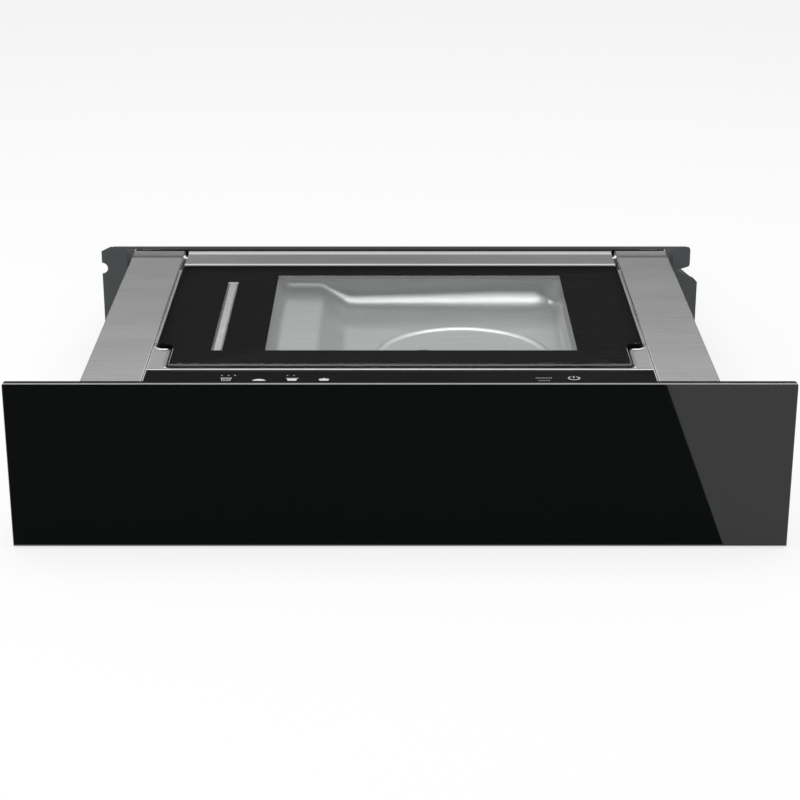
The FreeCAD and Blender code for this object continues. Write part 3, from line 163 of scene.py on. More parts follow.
def spangle_group():
    """Zinc crystals: a Voronoi pattern's cell colour as a tone, the distance to a cell's edge as a seam."""
    tree, inward, outward = new_group(
        "Spangle", [("Vector", "NodeSocketVector", None), ("Pitch", "NodeSocketFloat", 160.0)],
        [("Tone", "NodeSocketFloat"), ("Seam", "NodeSocketFloat")])
    cells = node(tree, "ShaderNodeTexVoronoi", [("Vector", inward.outputs[0]), ("Scale", inward.outputs[1])])
    grey = node(tree, "ShaderNodeSeparateColor", [(0, cells.outputs["Color"])])
    seam = node(tree, "ShaderNodeTexVoronoi", [("Vector", inward.outputs[0]), ("Scale", inward.outputs[1])],
                feature="DISTANCE_TO_EDGE")
    tree.links.new(grey.outputs[0], outward.inputs[0])
    tree.links.new(seam.outputs["Distance"], outward.inputs[1])
    return tree


BRUSH, GRAIN, SPANGLE = brushed_group(), speckle_group(), spangle_group()


# Materials

def material(name):
    """A material with only its shader and its output, and the socket of the object's own coordinates."""
    made = bpy.data.materials.new(name)
    made.use_nodes = True
    tree = made.node_tree
    tree.nodes.clear()
    out = tree.nodes.new("ShaderNodeOutputMaterial")
    shader = tree.nodes.new("ShaderNodeBsdfPrincipled")
    tree.links.new(shader.outputs[0], out.inputs[0])
    return made, tree, shader, tree.nodes.new("ShaderNodeTexCoord").outputs["Object"]


def group_node(tree, group, links):
    """A shared group placed in a material with its own values."""
    return node(tree, "ShaderNodeGroup", links, node_tree=group)


def grain_of(tree, where, *links):
    """The grain group on the object's own coordinates."""
    return group_node(tree, GRAIN, [("Vector", where), *links])


def scaled(tree, where, scale):
    """The object's own coordinates times a scale."""
    return node(tree, "ShaderNodeMapping", [("Vector", where), ("Scale", scale)]).outputs[0]


def spread(tree, value, low, high):
    """A noise value laid over low to high. Noise seldom leaves 0.3 to 0.7, so those are its ends."""
    return ramp(tree, value, 0.3, 0.7, low, high)


def roughen(tree, shader, value, low, high):
    """Roughness that follows a pattern from low to high."""
    tree.links.new(spread(tree, value, low, high), shader.inputs["Roughness"])


def dimmed(colour, share):
    """A colour times a share."""
    return (*(c * share for c in colour[:3]), 1.0)


def bump(tree, shader, height, strength, distance):
    """A height that tilts the normal."""
    made = node(tree, "ShaderNodeBump", [("Height", height), ("Strength", strength), ("Distance", distance)])
    tree.links.new(made.outputs[0], shader.inputs["Normal"])


def brushed(name, dark, light, rough, along=(1.2, 900, 900), lines=0.25, depth=0.00002, change=0.06):
    """Steel with brush lines along the axis whose scale is small."""
    made, tree, shader, where = material(name)
    pattern = group_node(tree, BRUSH, [("Vector", scaled(tree, where, along)),
                                       ("Cloud Vector", scaled(tree, where, (5, 22, 22)))])
    tone = mix_colour(tree, spread(tree, pattern.outputs["Lines"], 0, 1), dark, light)
    tree.links.new(tone, shader.inputs["Base Color"])
    roughen(tree, shader, pattern.outputs["Cloud"], rough - change, rough + change)
    fill(shader, {"Metallic": 1.0})
    bump(tree, shader, pattern.outputs["Lines"], lines, depth)
    return made


def painted_wall_shade(made, share):
    """Pressed sheet with painted shade on its walls: the colour's tone falls to a share as the face turns
    upright, so the upright walls are darker than the floor."""
    tree = made.node_tree
    shader = found(tree, "BSDF_PRINCIPLED")
    plain = shader.inputs["Base Color"].links[0].from_socket
    normal = tree.nodes.new("ShaderNodeTexCoord").outputs["Normal"]
    facing = node(tree, "ShaderNodeSeparateXYZ", [(0, normal)])
    level = math_node(tree, "ABSOLUTE", facing.outputs["Z"])
    # Tone that falls on upright faces: painted shade
    tone = spread(tree, ramp(tree, level, 0.2, 0.65), share, 1.0)
    wall = node(tree, "ShaderNodeVectorMath", [(0, plain)], operation="SCALE")
    tree.links.new(tone, wall.inputs["Scale"])
    tree.links.new(wall.outputs[0], shader.inputs["Base Color"])
    return made


def painted(name, colour, rough, depth=0.00004, pitch=900.0, strength=0.35, metallic=0.0, sheen=0.0,
            specular=0.5):
    """Sprayed, cast or moulded surface: fine grain in the bump, slow tone in the colour and the roughness."""
    made, tree, shader, where = material(name)
    pattern = grain_of(tree, where, ("Pitch", pitch))
    tone = mix_colour(tree, spread(tree, pattern.outputs["Tone"], 0, 1), dimmed(colour, 0.82), colour)
    tree.links.new(tone, shader.inputs["Base Color"])
    roughen(tree, shader, pattern.outputs["Tone"], rough - 0.05, rough + 0.05)
    fill(shader, {"Metallic": metallic, "Sheen Weight": sheen, "Specular IOR Level": specular})
    bump(tree, shader, pattern.outputs["Grain"], strength, depth)
    return made


def zinc(name, colour, rough, pitch=160.0):
    """Zinc coated sheet with its crystals."""
    made, tree, shader, where = material(name)
    pattern = group_node(tree, SPANGLE, [("Vector", where), ("Pitch", pitch)])
    tone = mix_colour(tree, pattern.outputs["Tone"], dimmed(colour, 0.78), colour)
    tree.links.new(tone, shader.inputs["Base Color"])
    roughen(tree, shader, pattern.outputs["Tone"], rough - 0.06, rough + 0.06)
    fill(shader, {"Metallic": 0.9})
    bump(tree, shader, pattern.outputs["Seam"], 0.15, 0.00003)
    return made


def black_glass(name, face, edge, rough=0.02, edge_axis="Z", edge_rough=0.32, edge_front=None):
    """Printed glass. The faces that point along the edge axis are ground, and their paler colour is a painted
    highlight. Where edge_front is given they are so only in front of it, because the print comes up to the
    rear of the edge."""
    made, tree, shader, where = material(name)
    pattern = grain_of(tree, where, ("Patch", 6.0))
    facing = node(tree, "ShaderNodeSeparateXYZ", [(0, where.node.outputs["Normal"])])
    ground_highlight = ramp(tree, math_node(tree, "ABSOLUTE", facing.outputs[edge_axis]), 0.5, 0.7)
    if edge_front is not None:
        spot = node(tree, "ShaderNodeSeparateXYZ", [(0, where)])
        in_front = ramp(tree, spot.outputs["Y"], edge_front, edge_front + 0.0004, 1.0, 0.0)
        ground_highlight = math_node(tree, "MULTIPLY", ground_highlight, in_front)
    tone = mix_colour(tree, pattern.outputs["Tone"], dimmed(face, 0.9), face)
    # Paler colour on the ground faces: a painted highlight
    tree.links.new(mix_colour(tree, ground_highlight, tone, edge), shader.inputs["Base Color"])
    smear = spread(tree, pattern.outputs["Tone"], rough, rough + 0.03)
    both = node(tree, "ShaderNodeMath", [(0, ground_highlight), (1, edge_rough), (2, smear)], operation="MULTIPLY_ADD")
    tree.links.new(both.outputs[0], shader.inputs["Roughness"])
    return made


def clear_glass(name):
    """Clear glass. It lets light rays pass, and also the rays that come back off the steel under it, so that
    the chamber is lit. Only what is seen through the glass is bent by it."""
    made, tree, shader, where = material(name)
    fill(shader, {"Transmission Weight": 1.0, "IOR": 1.46})
    pattern = grain_of(tree, where, ("Patch", 9.0))
    tone = mix_colour(tree, pattern.outputs["Tone"], (0.955, 0.972, 0.965, 1), (0.97, 0.982, 0.978, 1))
    tree.links.new(tone, shader.inputs["Base Color"])
    roughen(tree, shader, pattern.outputs["Tone"], 0.0, 0.006)
    path = tree.nodes.new("ShaderNodeLightPath")
    passing = math_node(tree, "MAXIMUM", path.outputs["Is Shadow Ray"], path.outputs["Is Diffuse Ray"])
    # A ray bent by the glass counts as glossy too, and has to stay bent
    glossy = math_node(tree, "SUBTRACT", path.outputs["Is Glossy Ray"], path.outputs["Is Transmission Ray"],
                       clamp=True)
    passing = math_node(tree, "MAXIMUM", passing, glossy)
    through = node(tree, "ShaderNodeBsdfTransparent", [("Color", (0.95, 0.965, 0.96, 1))])
    blend = node(tree, "ShaderNodeMixShader", [(0, passing), (1, shader.outputs[0]), (2, through.outputs[0])])
    tree.links.new(blend.outputs[0], found(tree, "OUTPUT_MATERIAL").inputs[0])
    return made


# Distance over which a wave texture of scale 1 repeats
WAVE = 0.31


def woven(name, colour, gap, pitch=0.0011):
    """Coated glass cloth: two crossed waves give the threads, the mottle under them is the coating."""
    made, tree, shader, where = material(name)
    warp, weft = (node(tree, "ShaderNodeTexWave", [("Vector", where), ("Scale", WAVE / pitch)],
                       bands_direction=axis) for axis in "XY")
    threads = math_node(tree, "MAXIMUM", warp.outputs["Fac"], weft.outputs["Fac"])
    pattern = grain_of(tree, where, ("Pitch", 700.0), ("Patch", 160.0))
    cloth = mix_colour(tree, threads, gap, colour)
    mottle = spread(tree, pattern.outputs["Tone"], 0.0, 0.55)
    tree.links.new(mix_colour(tree, mottle, cloth, gap), shader.inputs["Base Color"])
    roughen(tree, shader, pattern.outputs["Tone"], 0.42, 0.6)
    bump(tree, shader, threads, 0.5, 0.00008)
    return made


def board_finish(name):
    """Circuit board: green lacquer with copper runs showing through as paler lines."""
    made, tree, shader, where = material(name)
    runs = node(tree, "ShaderNodeTexBrick", [("Vector", where), ("Scale", 55.0),
                                             ("Mortar Size", 0.03), ("Color1", shade(24, 82, 52)),
                                             ("Color2", shade(20, 70, 44)), ("Mortar", shade(60, 120, 76))])
    tree.links.new(runs.outputs["Color"], shader.inputs["Base Color"])
    roughen(tree, shader, grain_of(tree, where).outputs["Tone"], 0.3, 0.42)
    bump(tree, shader, runs.outputs["Fac"], 0.2, 0.00005)
    return made


def laminated(name):
    """Transformer core: thin dark sheets stacked along X, each a little different from the next."""
    made, tree, shader, where = material(name)
    sheets = node(tree, "ShaderNodeTexWave", [("Vector", where), ("Scale", 300.0)],
                  bands_direction="X")
    tone = mix_colour(tree, sheets.outputs["Fac"], shade(58, 60, 64), shade(96, 98, 102))
    tree.links.new(tone, shader.inputs["Base Color"])
    roughen(tree, shader, grain_of(tree, where).outputs["Tone"], 0.4, 0.55)
    fill(shader, {"Metallic": 0.7})
    bump(tree, shader, sheets.outputs["Fac"], 0.3, 0.0001)
    return made


STEEL = brushed("BrushedSteel", shade(184), shade(212), 0.33, along=(24, 1500, 1500), change=0.015)
# Chamber steel with painted shade on its upright walls
CHAMBER_STEEL = painted_wall_shade(brushed("ChamberSteel", shade(204), shade(226), 0.38, along=(30, 900, 900),
                              change=0.02),
                      0.25)
FINISH = {
    # Edge colours of the printed glasses: painted highlights on their ground faces
    "panel_glass": black_glass("PanelGlass", shade(16, 19, 18), shade(136), 0.012, edge_front=-0.3782),
    "control_glass": black_glass("ControlGlass", shade(18), shade(60), 0.05, edge_axis="Y"),
    "lid_glass": clear_glass("LidGlass"),
    "print": painted("BlackPrint", shade(6), 0.6, pitch=2500.0, strength=0.1, specular=0.08),
    "steel": STEEL,
    "chamber_steel": CHAMBER_STEEL,
    "housing_paint": painted("PowderCoat", shade(76, 80, 82), 0.55, pitch=1400.0),
    # Black coat; its black is also painted shade for the gaps under the crossbar and behind the side covers
    "cover_black": painted("BlackCoatAndShade", shade(10), 0.75, pitch=1400.0, specular=0.15),
    "galvanised": zinc("ZincSheet", shade(178, 181, 184), 0.38),
    "slide_steel": zinc("PlatedSlide", shade(196, 199, 202), 0.28, 700.0),
    "cage_plastic": painted("NaturalNylon", shade(214, 210, 196), 0.45, strength=0.15),
    "fastener": brushed("ZincFastener", shade(188), shade(206), 0.26, along=(500, 500, 500), lines=0.1),
    "seal_rubber": painted("BlackRubber", shade(38), 0.62, pitch=1800.0, sheen=0.15),
    "counter_silicone": woven("CounterSilicone", shade(206, 205, 201), shade(150, 149, 146)),
    "bar_alloy": brushed("SatinAlloy", shade(200, 201, 203), shade(214, 215, 217), 0.36, along=(600, 4, 600)),
    "tape": woven("HeaterTape", shade(176, 166, 146), shade(122, 112, 94)),
    "clamp_brass": brushed("ClampBrass", shade(196, 160, 92), shade(214, 182, 116), 0.3,
                           along=(500, 500, 500)),
    "cylinder_alloy": brushed("TurnedAlloy", shade(186, 187, 190), shade(204, 205, 208), 0.34,
                              along=(500, 500, 3)),
    "motor_paint": painted("MotorPaint", shade(34, 35, 38), 0.42, pitch=1100.0),
    "filter_plastic": painted("BlackPlastic", shade(24), 0.6, pitch=1500.0, strength=0.2),
    "pipe": painted("GreyNylon", shade(186, 186, 180), 0.4, strength=0.12),
    "core_iron": laminated("LaminatedCore"),
    "board": board_finish("CircuitBoard"),
    "latch_plastic": painted("LatchNylon", shade(138, 141, 144), 0.34, strength=0.15),
}

BEAM_ALLOY = brushed("BeamAlloy", shade(188), shade(212), 0.3, along=(20, 1500, 1500), change=0.015)
TRIM_STEEL = brushed("TrimSteel", shade(196), shade(216), 0.28, along=(20, 1500, 1500), change=0.015)
SIGN_PRINT = painted("SignPrint", shade(214), 0.5, pitch=3000.0, strength=0.1)
# Pale edge of the lid glass: a painted highlight on its ground band
EDGE_HIGHLIGHT = painted("GlassEdgeHighlight", shade(168, 172, 171), 0.34, pitch=2600.0, strength=0.2, metallic=0.6)

for row in frame["record"]["subparts"]:
    part = frame["nodes"][row["node"]]
    part.data.materials.clear()
    part.data.materials.append(FINISH[row["material_slot"]])


# Shapes. Lengths in this part are millimetres, and a mesh is turned to metres when it is made.

SIDES = ((-1, "left"), (1, "right"))
# Order of the columns that turns a shape built along z to lie along an axis
ALONG = {"z": (0, 1, 2), "y": (0, 2, 1), "x": (2, 0, 1)}


def span(name):
    """Lowest and highest corner of a CAD node in millimetres."""
    low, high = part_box(name)
    return np.array(low) / MM, np.array(high) / MM


def grid_faces(rows, columns, close_rows=False, close_columns=False):
    """Quads between neighbours of a grid whose points are numbered row by row."""
    i = np.arange(rows if close_rows else rows - 1)[:, None]
    j = np.arange(columns if close_columns else columns - 1)[None, :]
    k, m = (i + 1) % rows, (j + 1) % columns
    corners = [i * columns + j, i * columns + m, k * columns + m, k * columns + j]
    return np.stack([np.broadcast_to(c, (i.size, j.size)).ravel() for c in corners], axis=1)


def placed(name, data):
    """An object in the scene that shows this data."""
    made = bpy.data.objects.new(name, data)
    bpy.context.scene.collection.objects.link(made)
    return made


def piece(name, points, faces, body, slot, smooth=35, finish=None, replaces=()):
    """A mesh object at the origin that rides on a body. Doubles are merged, holes closed and all faces turned
    outwards. Edges blunter than the angle in smooth are shaded round, and faces of many corners stay flat."""
    mesh = bpy.data.meshes.new(name)
    mesh.from_pydata((np.asarray(points) * MM).tolist(), [], [list(face) for face in faces])
    work = bmesh.new()
    work.from_mesh(mesh)
    bmesh.ops.remove_doubles(work, verts=work.verts, dist=1e-7)
    rims = [edge for edge in work.edges if edge.is_boundary]
    if rims:
        bmesh.ops.holes_fill(work, edges=rims, sides=0)
    bmesh.ops.recalc_face_normals(work, faces=work.faces)
    for edge in work.edges:
        edge.smooth = edge.calc_face_angle(0) < math.radians(smooth)
    work.to_mesh(mesh)
    work.free()
    corners = np.empty(len(mesh.polygons), np.int32)
    mesh.polygons.foreach_get("loop_total", corners)
    mesh.polygons.foreach_set("use_smooth", corners <= 4)
    mesh.update()
    made = placed(name, mesh)
    mesh.materials.append(finish or FINISH[slot])
    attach(made, body)
    for old in replaces:
        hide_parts(old)
    return made


def repeated(points, faces, spots):
    """The same small shape at every spot."""
    spots = np.asarray(spots, float)
    count = len(points)
    moved = (spots[:, None, :] + np.asarray(points)[None]).reshape(-1, 3)
    numbered = [[index + turn * count for index in face] for turn in range(len(spots)) for face in faces]
    return moved, numbered


def joined(parts):
    """Shapes given as points and faces, as one."""
    points, faces, count = [], [], 0
    for shape, skin in parts:
        points.append(shape)
        faces += [[index + count for index in face] for face in skin]
        count += len(shape)
    return np.concatenate(points), faces


def rounded(corners, radii, inset=0.0, steps=8):
    """Outline through corners given anticlockwise. Each corner is an arc that touches both of its sides,
    about a centre one radius from them. An inset moves every side inwards: an outward corner's arc shrinks by
    it, an inward corner's arc grows by it, and the centres stay."""
    corners = np.asarray(corners, float)
    radii = np.broadcast_to(np.asarray(radii, float), (len(corners),))
    before = corners - np.roll(corners, 1, axis=0)
    after = np.roll(corners, -1, axis=0) - corners
    before /= np.linalg.norm(before, axis=1, keepdims=True)
    after /= np.linalg.norm(after, axis=1, keepdims=True)
    turn = np.arctan2(before[:, 0] * after[:, 1] - before[:, 1] * after[:, 0], (before * after).sum(axis=1))
    way = np.sign(turn)[:, None]
    inward = np.stack([-before[:, 1], before[:, 0]], axis=1)
    centre = corners - before * (radii * np.tan(np.abs(turn) / 2))[:, None] + way * radii[:, None] * inward
    part = turn[:, None] * np.linspace(0, 1, steps)[None, :]
    out = -way * inward
    cos, sin = np.cos(part), np.sin(part)
    arm = np.stack([out[:, 0:1] * cos - out[:, 1:2] * sin, out[:, 0:1] * sin + out[:, 1:2] * cos], axis=-1)
    return (centre[:, None, :] + (radii[:, None] - way * inset)[:, :, None] * arm).reshape(-1, 2)


def loft(loops):
    """Skin through loops of equal count from the first to the last, with a flat face over each end."""
    loops = np.asarray(loops, float)
    rows, columns = loops.shape[:2]
    faces = grid_faces(rows, columns, close_columns=True).tolist()
    faces.append(list(range(columns)))
    faces.append([(rows - 1) * columns + i for i in range(columns)])
    return loops.reshape(-1, 3), faces


def stacked(outline, levels):
    """Level loops. outline(inset) gives a loop's points, levels is pairs of inset and height."""
    loops = []
    for inset, height in levels:
        flat = outline(inset)
        loops.append(np.column_stack([flat, np.full(len(flat), height)]))
    return np.array(loops)


def carried(profile, axis, ends, inset=0.25):
    """A profile carried straight from one end to the other with a small bevel at both: it shrinks towards its
    middle by the inset over the last inset of the way. axis 0 takes (y, z), axis 1 takes (x, z)."""
    profile = np.asarray(profile, float)
    middle = (profile.min(axis=0) + profile.max(axis=0)) / 2
    half = (profile.max(axis=0) - profile.min(axis=0)) / 2
    small = middle + (profile - middle) * (1 - inset / half)
    loops = []
    for place, shape in ((ends[0], small), (ends[0] + inset, profile), (ends[1] - inset, profile),
                         (ends[1], small)):
        loops.append(np.insert(shape, axis, place, axis=1))
    return loft(loops)


def turned(profile, axis="z", turns=32):
    """Surface of revolution. Each row of the profile is a radius and a height along the axis."""
    profile = np.asarray(profile, float)
    angle = np.linspace(0, 2 * np.pi, turns, endpoint=False)[None, :]
    radius, height = profile[:, 0:1], profile[:, 1:2]
    points = np.stack([radius * np.cos(angle), radius * np.sin(angle), height + 0 * angle],
                      axis=-1).reshape(-1, 3)
    return points[:, ALONG[axis]], grid_faces(len(profile), turns, close_columns=True).tolist()


def crosshead(radius, height, axis="z", sign=1.0, turns=40):
    """Domed head with a cross recess. At angle a and share s of the radius it is height * (1 - s^4 / 2) high,
    less half of the height where the nearer arm of the cross is under 0.14 and s is under 0.62."""
    a = np.linspace(0, 2 * np.pi, turns, endpoint=False)[:, None]
    s = np.append(np.linspace(0.0, 1, 13), 1.0)[None, :]
    lift = height * (1 - s ** 4 / 2) + 0 * a
    arm = np.minimum(np.abs(s * np.sin(a)), np.abs(s * np.cos(a)))
    lift = lift - 0.5 * height * ((arm < 0.14) & (s < 0.62))
    lift[:, -1] = 0
    points = np.stack([s * np.cos(a) * radius, s * np.sin(a) * radius, lift * sign], axis=-1).reshape(-1, 3)
    return points[:, ALONG[axis]], grid_faces(turns, s.size, close_rows=True).tolist()


def trim(name, points, faces):
    """A fold or bead of trim steel on the drawer."""
    piece(name, points, faces, "drawer", "steel", smooth=60, finish=TRIM_STEEL)


def bead_line(name, start, end, radius, sides=10):
    """A thin round bead of trim steel along a straight line in the x or y direction."""
    start, end = np.array(start, float), np.array(end, float)
    along = int(np.argmax(np.abs(end - start)))
    angle = np.linspace(0, 2 * np.pi, sides, endpoint=False)
    ring = np.stack([radius * np.cos(angle), radius * np.sin(angle)], axis=1)
    loops = [np.insert(ring * scale, along, 0.0, axis=1) + spot
             for spot, scale in ((start, 0.4), (start, 1.0), (end, 1.0), (end, 0.4))]
    tip = 0.3 * np.sign(end - start)[along]
    loops[0][:, along] -= tip
    loops[3][:, along] += tip
    trim(name, *loft(loops))


# Lid

glass_low, glass_high = span("lid_glass")
deck_low, deck_high = span("deck")
DECK = deck_high[2]
# Lid's outline: how far its front notches reach back and in, and the radii of its corners
NOTCH, TONGUE, ROUND, REAR_ROUND = 47.0, 12.4, 5.0, 3.6
# Points on each of its corners
ARC = 10


def pane_outline(inset):
    """The lid's outline with its two notched front corners."""
    half, front, rear = glass_high[0], glass_low[1], glass_high[1]
    tongue, shoulder = half - TONGUE, front + NOTCH
    corners = [(-tongue, front), (tongue, front), (tongue, shoulder), (half, shoulder), (half, rear),
               (-half, rear), (-half, shoulder), (-tongue, shoulder)]
    radii = (ROUND, ROUND, ROUND, ROUND, REAR_ROUND, REAR_ROUND, ROUND, ROUND)
    return rounded(corners, radii, inset, ARC)


# Ground band, painted pale as a highlight: its depths under the top face, and how far behind the lid's front
# it still is ground and pale
BAND_TOP, BAND_LOW, HIGHLIGHT_ZONE = 0.85, 1.95, 40


def lid_pane():
    """Glass with small arrises and a ground band on its edge, painted pale as a highlight. Each level gives
    how far it lies inside the outline and its depth under the top face, and the band stands 0.14 proud of the
    edge around it. The print wraps the edge behind the notches."""
    top, low, low_front = glass_high[2], glass_low[2], glass_low[1]
    levels = [(0.55, 0.0), (0.34, 0.07), (0.2, 0.2), (0.14, 0.4), (0.14, BAND_TOP), (0.03, 1.0), (0.0, 1.4),
              (0.03, 1.8), (0.14, BAND_LOW), (0.14, top - low - 0.5), (0.3, top - low - 0.12),
              (0.5, top - low)]
    points, faces = loft(stacked(pane_outline, [(inset, top - depth) for inset, depth in levels]))
    made = piece("lid_pane", points, faces, "lid", "lid_glass", replaces=("lid_glass",))
    made.data.materials.append(EDGE_HIGHLIGHT)
    made.data.materials.append(FINISH["print"])
    middle = np.empty(len(made.data.polygons) * 3)
    made.data.polygons.foreach_get("center", middle)
    middle = middle.reshape(-1, 3) / MM
    depth, front = top - middle[:, 2], middle[:, 1] < low_front + HIGHLIGHT_ZONE
    highlight_band = (depth > BAND_TOP) & (depth < BAND_LOW) & front
    side = (depth > 0.1) & (depth < top - low - 0.05) & ~front
    made.data.polygons.foreach_set("material_index", np.where(highlight_band, 1, np.where(side, 2, 0)).astype(np.int32))


lid_pane()

beam_low, beam_high = span("hinge_beam")


def beam_profile():
    """Section of the hinge beam in y and z: a bevelled rear ridge, a groove, a flat and a front lip."""
    rear, front, low, top = beam_high[1], beam_low[1], beam_low[2], beam_high[2]
    flat, edge = top - 0.9, glass_high[1]
    return [(rear, low), (rear, top - 0.4), (rear - 0.4, top), (rear - 0.9, top), (rear - 3.6, top - 0.95),
            (rear - 7.0, top - 1.3), (rear - 7.6, flat), (edge + 8.2, flat), (edge + 7.4, top - 0.3),
            (edge + 6.8, top), (edge + 6.2, top), (edge + 4.3, top - 0.68), (edge + 4.3, flat - 0.6),
            (edge, flat - 0.6), (edge, glass_low[2] - 0.4), (front, glass_low[2] - 0.4), (front, low)]


piece("hinge_beam_rail", *carried(beam_profile(), 0, (beam_low[0], beam_high[0])), "lid", "bar_alloy",
      smooth=20, finish=BEAM_ALLOY, replaces=("hinge_beam",))

# Black bead of sealant between the beam's lip and the glass
seam = beam_high[2] - 1.5
edge = glass_high[1]
bead = [(edge + 0.1, seam), (edge + 4.3, seam), (edge + 4.3, seam + 0.35), (edge + 3.2, seam + 0.7),
        (edge + 1.2, seam + 0.9), (edge + 0.1, seam + 0.9)]
piece("lid_sealant", *carried(bead, 0, (beam_low[0] + 0.5, beam_high[0] - 0.5)), "lid", "seal_rubber",
      smooth=50)


def counter_bar():
    """Silicone bar under the glass. Its lower long edges have a radius of 1.2 and its upper ones of 2.4."""
    low, high = span("counter_bar")
    corners = [(low[0], low[2]), (high[0], low[2]), (high[0], high[2]), (low[0], high[2])]
    profile = rounded(corners, (1.2, 1.2, 2.4, 2.4), 0.0, 7)
    piece("counter_bar_silicone", *carried(profile, 1, (low[1], high[1])), "lid", "counter_silicone",
          smooth=50, replaces=("counter_bar",))


counter_bar()

# Drawer: trims, screws and rubber

# Fold at the front of the lid's seat, as distances behind this line and above the deck
fold_line = glass_low[1] - 4.9
fold = [(1.0, -0.3), (1.2, 0.02), (2.0, 0.14), (3.1, 0.24), (3.7, 0.22), (4.0, -0.05), (4.0, -0.3)]
trim("seat_front_fold", *carried([(fold_line + y, DECK + z) for y, z in fold], 0,
                                 (deck_low[0] + 0.4, deck_high[0] - 0.4)))

# Folds at the lid's notches: how far outside its outline, half their width and height, how deep their middle
FOLD_OUT, FOLD_WIDE, FOLD_HIGH, FOLD_DEEP = 2.9, 1.25, 0.6, 0.2


def notch_folds():
    """Rounded fold of the deck round each notch of the lid: an ellipse carried along the lid's outline, whose
    middle lies a little under the deck's face."""
    line = pane_outline(-FOLD_OUT).reshape(8, ARC, 2)
    angle = np.linspace(0, 2 * np.pi, 14, endpoint=False)
    for side, name in SIDES:
        path = np.concatenate([line[1][5:], line[2], line[3],
                               [line[3][-1] + (0, 2.0), line[3][-1] + (0, 9.0)]])
        path = path * (side, 1)
        way = np.gradient(path, axis=0)
        way /= np.linalg.norm(way, axis=1, keepdims=True)
        across = np.column_stack([-way[:, 1], way[:, 0]])
        size = np.ones(len(path))
        size[[0, -1]] = 0.3
        flat = path[:, None, :] + across[:, None, :] * (FOLD_WIDE * size[:, None] * np.cos(angle))[..., None]
        height = DECK - FOLD_DEEP + FOLD_HIGH * size[:, None] * np.sin(angle)
        trim(f"seat_notch_fold_{name}", *loft(np.concatenate([flat, height[..., None]], axis=-1)))


notch_folds()
cover_low, cover_high = span("side_cover_left")
for side, name in SIDES:
    for kind, x, end, radius in (("cover", side * (abs(cover_high[0]) + 0.35), cover_high[1], 0.42),
                                 ("deck", side * (deck_high[0] - 0.4), beam_low[1], 0.38)):
        bead_line(f"{kind}_edge_{name}", (x, cover_low[1] + 0.5, DECK - 0.2), (x, end - 0.5, DECK - 0.2),
                  radius)

# Caps behind the side covers: height of their foot, corner radius, and where they start and end
CAP_FOOT, CAP_ROUND, CAP_START, CAP_END = 90.0, 1.5, 0.2, 9.0


def cover_ends():
    """Black plastic caps that close the rear ends of the side covers, with rounded corners. Their black is
    also painted shade for the gaps behind the covers.
    """
    high = span("tray")[1]
    for side, name in SIDES:
        x = sorted((side * (high[0] + 0.2), side * abs(cover_low[0]) - side * 0.3))
        corners = [(x[0], CAP_FOOT), (x[1], CAP_FOOT), (x[1], DECK - 0.5), (x[0], DECK - 0.5)]
        points, faces = carried(rounded(corners, CAP_ROUND, 0.0, 5), 1,
                                (cover_high[1] + CAP_START, cover_high[1] + CAP_END))
        piece(f"cover_end_{name}", points, faces, "drawer", "cover_black", smooth=50)


cover_ends()

# Strainer: height and rim radius of its cap, number and depth of the slots, radii of its stem and neck
CAP, RIM, SLOTS, SLOT_DEEP, STEM, NECK = 2.6, 1.1, 12, 0.7, 6.7, 3.2


def strainer():
    """Strainer over the suction hole: a cap with a rounded rim, a stem and a neck. Radial slots are cut where
    the cosine of the slots times the angle is over 0.2, from 0.3 to 0.8 of the radius."""
    low, high = span("suction_filter")
    x, y = (low[0] + high[0]) / 2, (low[1] + high[1]) / 2
    radius, floor, step = (high[0] - low[0]) / 2, high[2] - 0.8, low[2] + 9.0
    angle = np.linspace(0, 2 * np.pi, 12 * SLOTS, endpoint=False)[None, :]
    share = np.concatenate([[0.0], np.linspace(0.12, 0.86, 16)])
    rows = [(radius * k, floor + CAP) for k in share]
    rows += [(radius - RIM * (1 - math.sin(t)), floor + CAP - RIM + RIM * math.cos(t))
             for t in np.radians([10, 35, 60, 90])]
    rows += [(radius, floor), (STEM, floor), (STEM, step), (NECK, step), (NECK, low[2]), (0.0, low[2])]
    rows = np.array(rows)
    height = rows[:, 1:2] + 0 * angle
    slots = (np.cos(SLOTS * angle) > 0.2) & (share > 0.3)[:, None] & (share < 0.8)[:, None]
    height[:len(share)] -= SLOT_DEEP * slots
    points = np.stack([x + rows[:, 0:1] * np.cos(angle), y + rows[:, 0:1] * np.sin(angle), height], axis=-1)
    faces = grid_faces(len(rows), angle.size, close_columns=True).tolist()
    piece("suction_strainer", points.reshape(-1, 3), faces, "drawer", "filter_plastic", smooth=40,
          replaces=("suction_filter",))


strainer()

# Chamber: its rear wall's y, the heights of its shelf and floor, and the slope's ends between them
REAR_WALL, SHELF, FLOOR, SLOPE = -62.0, 102.6, 87.6, (-69.5, -46.5)
# The wide fold's radius at each x
SWEEP = ((-98, 3), (-90, 6.5), (-69.5, 7), (-46.5, 13), (0, 15), (90, 20), (122, 20), (138, 9))


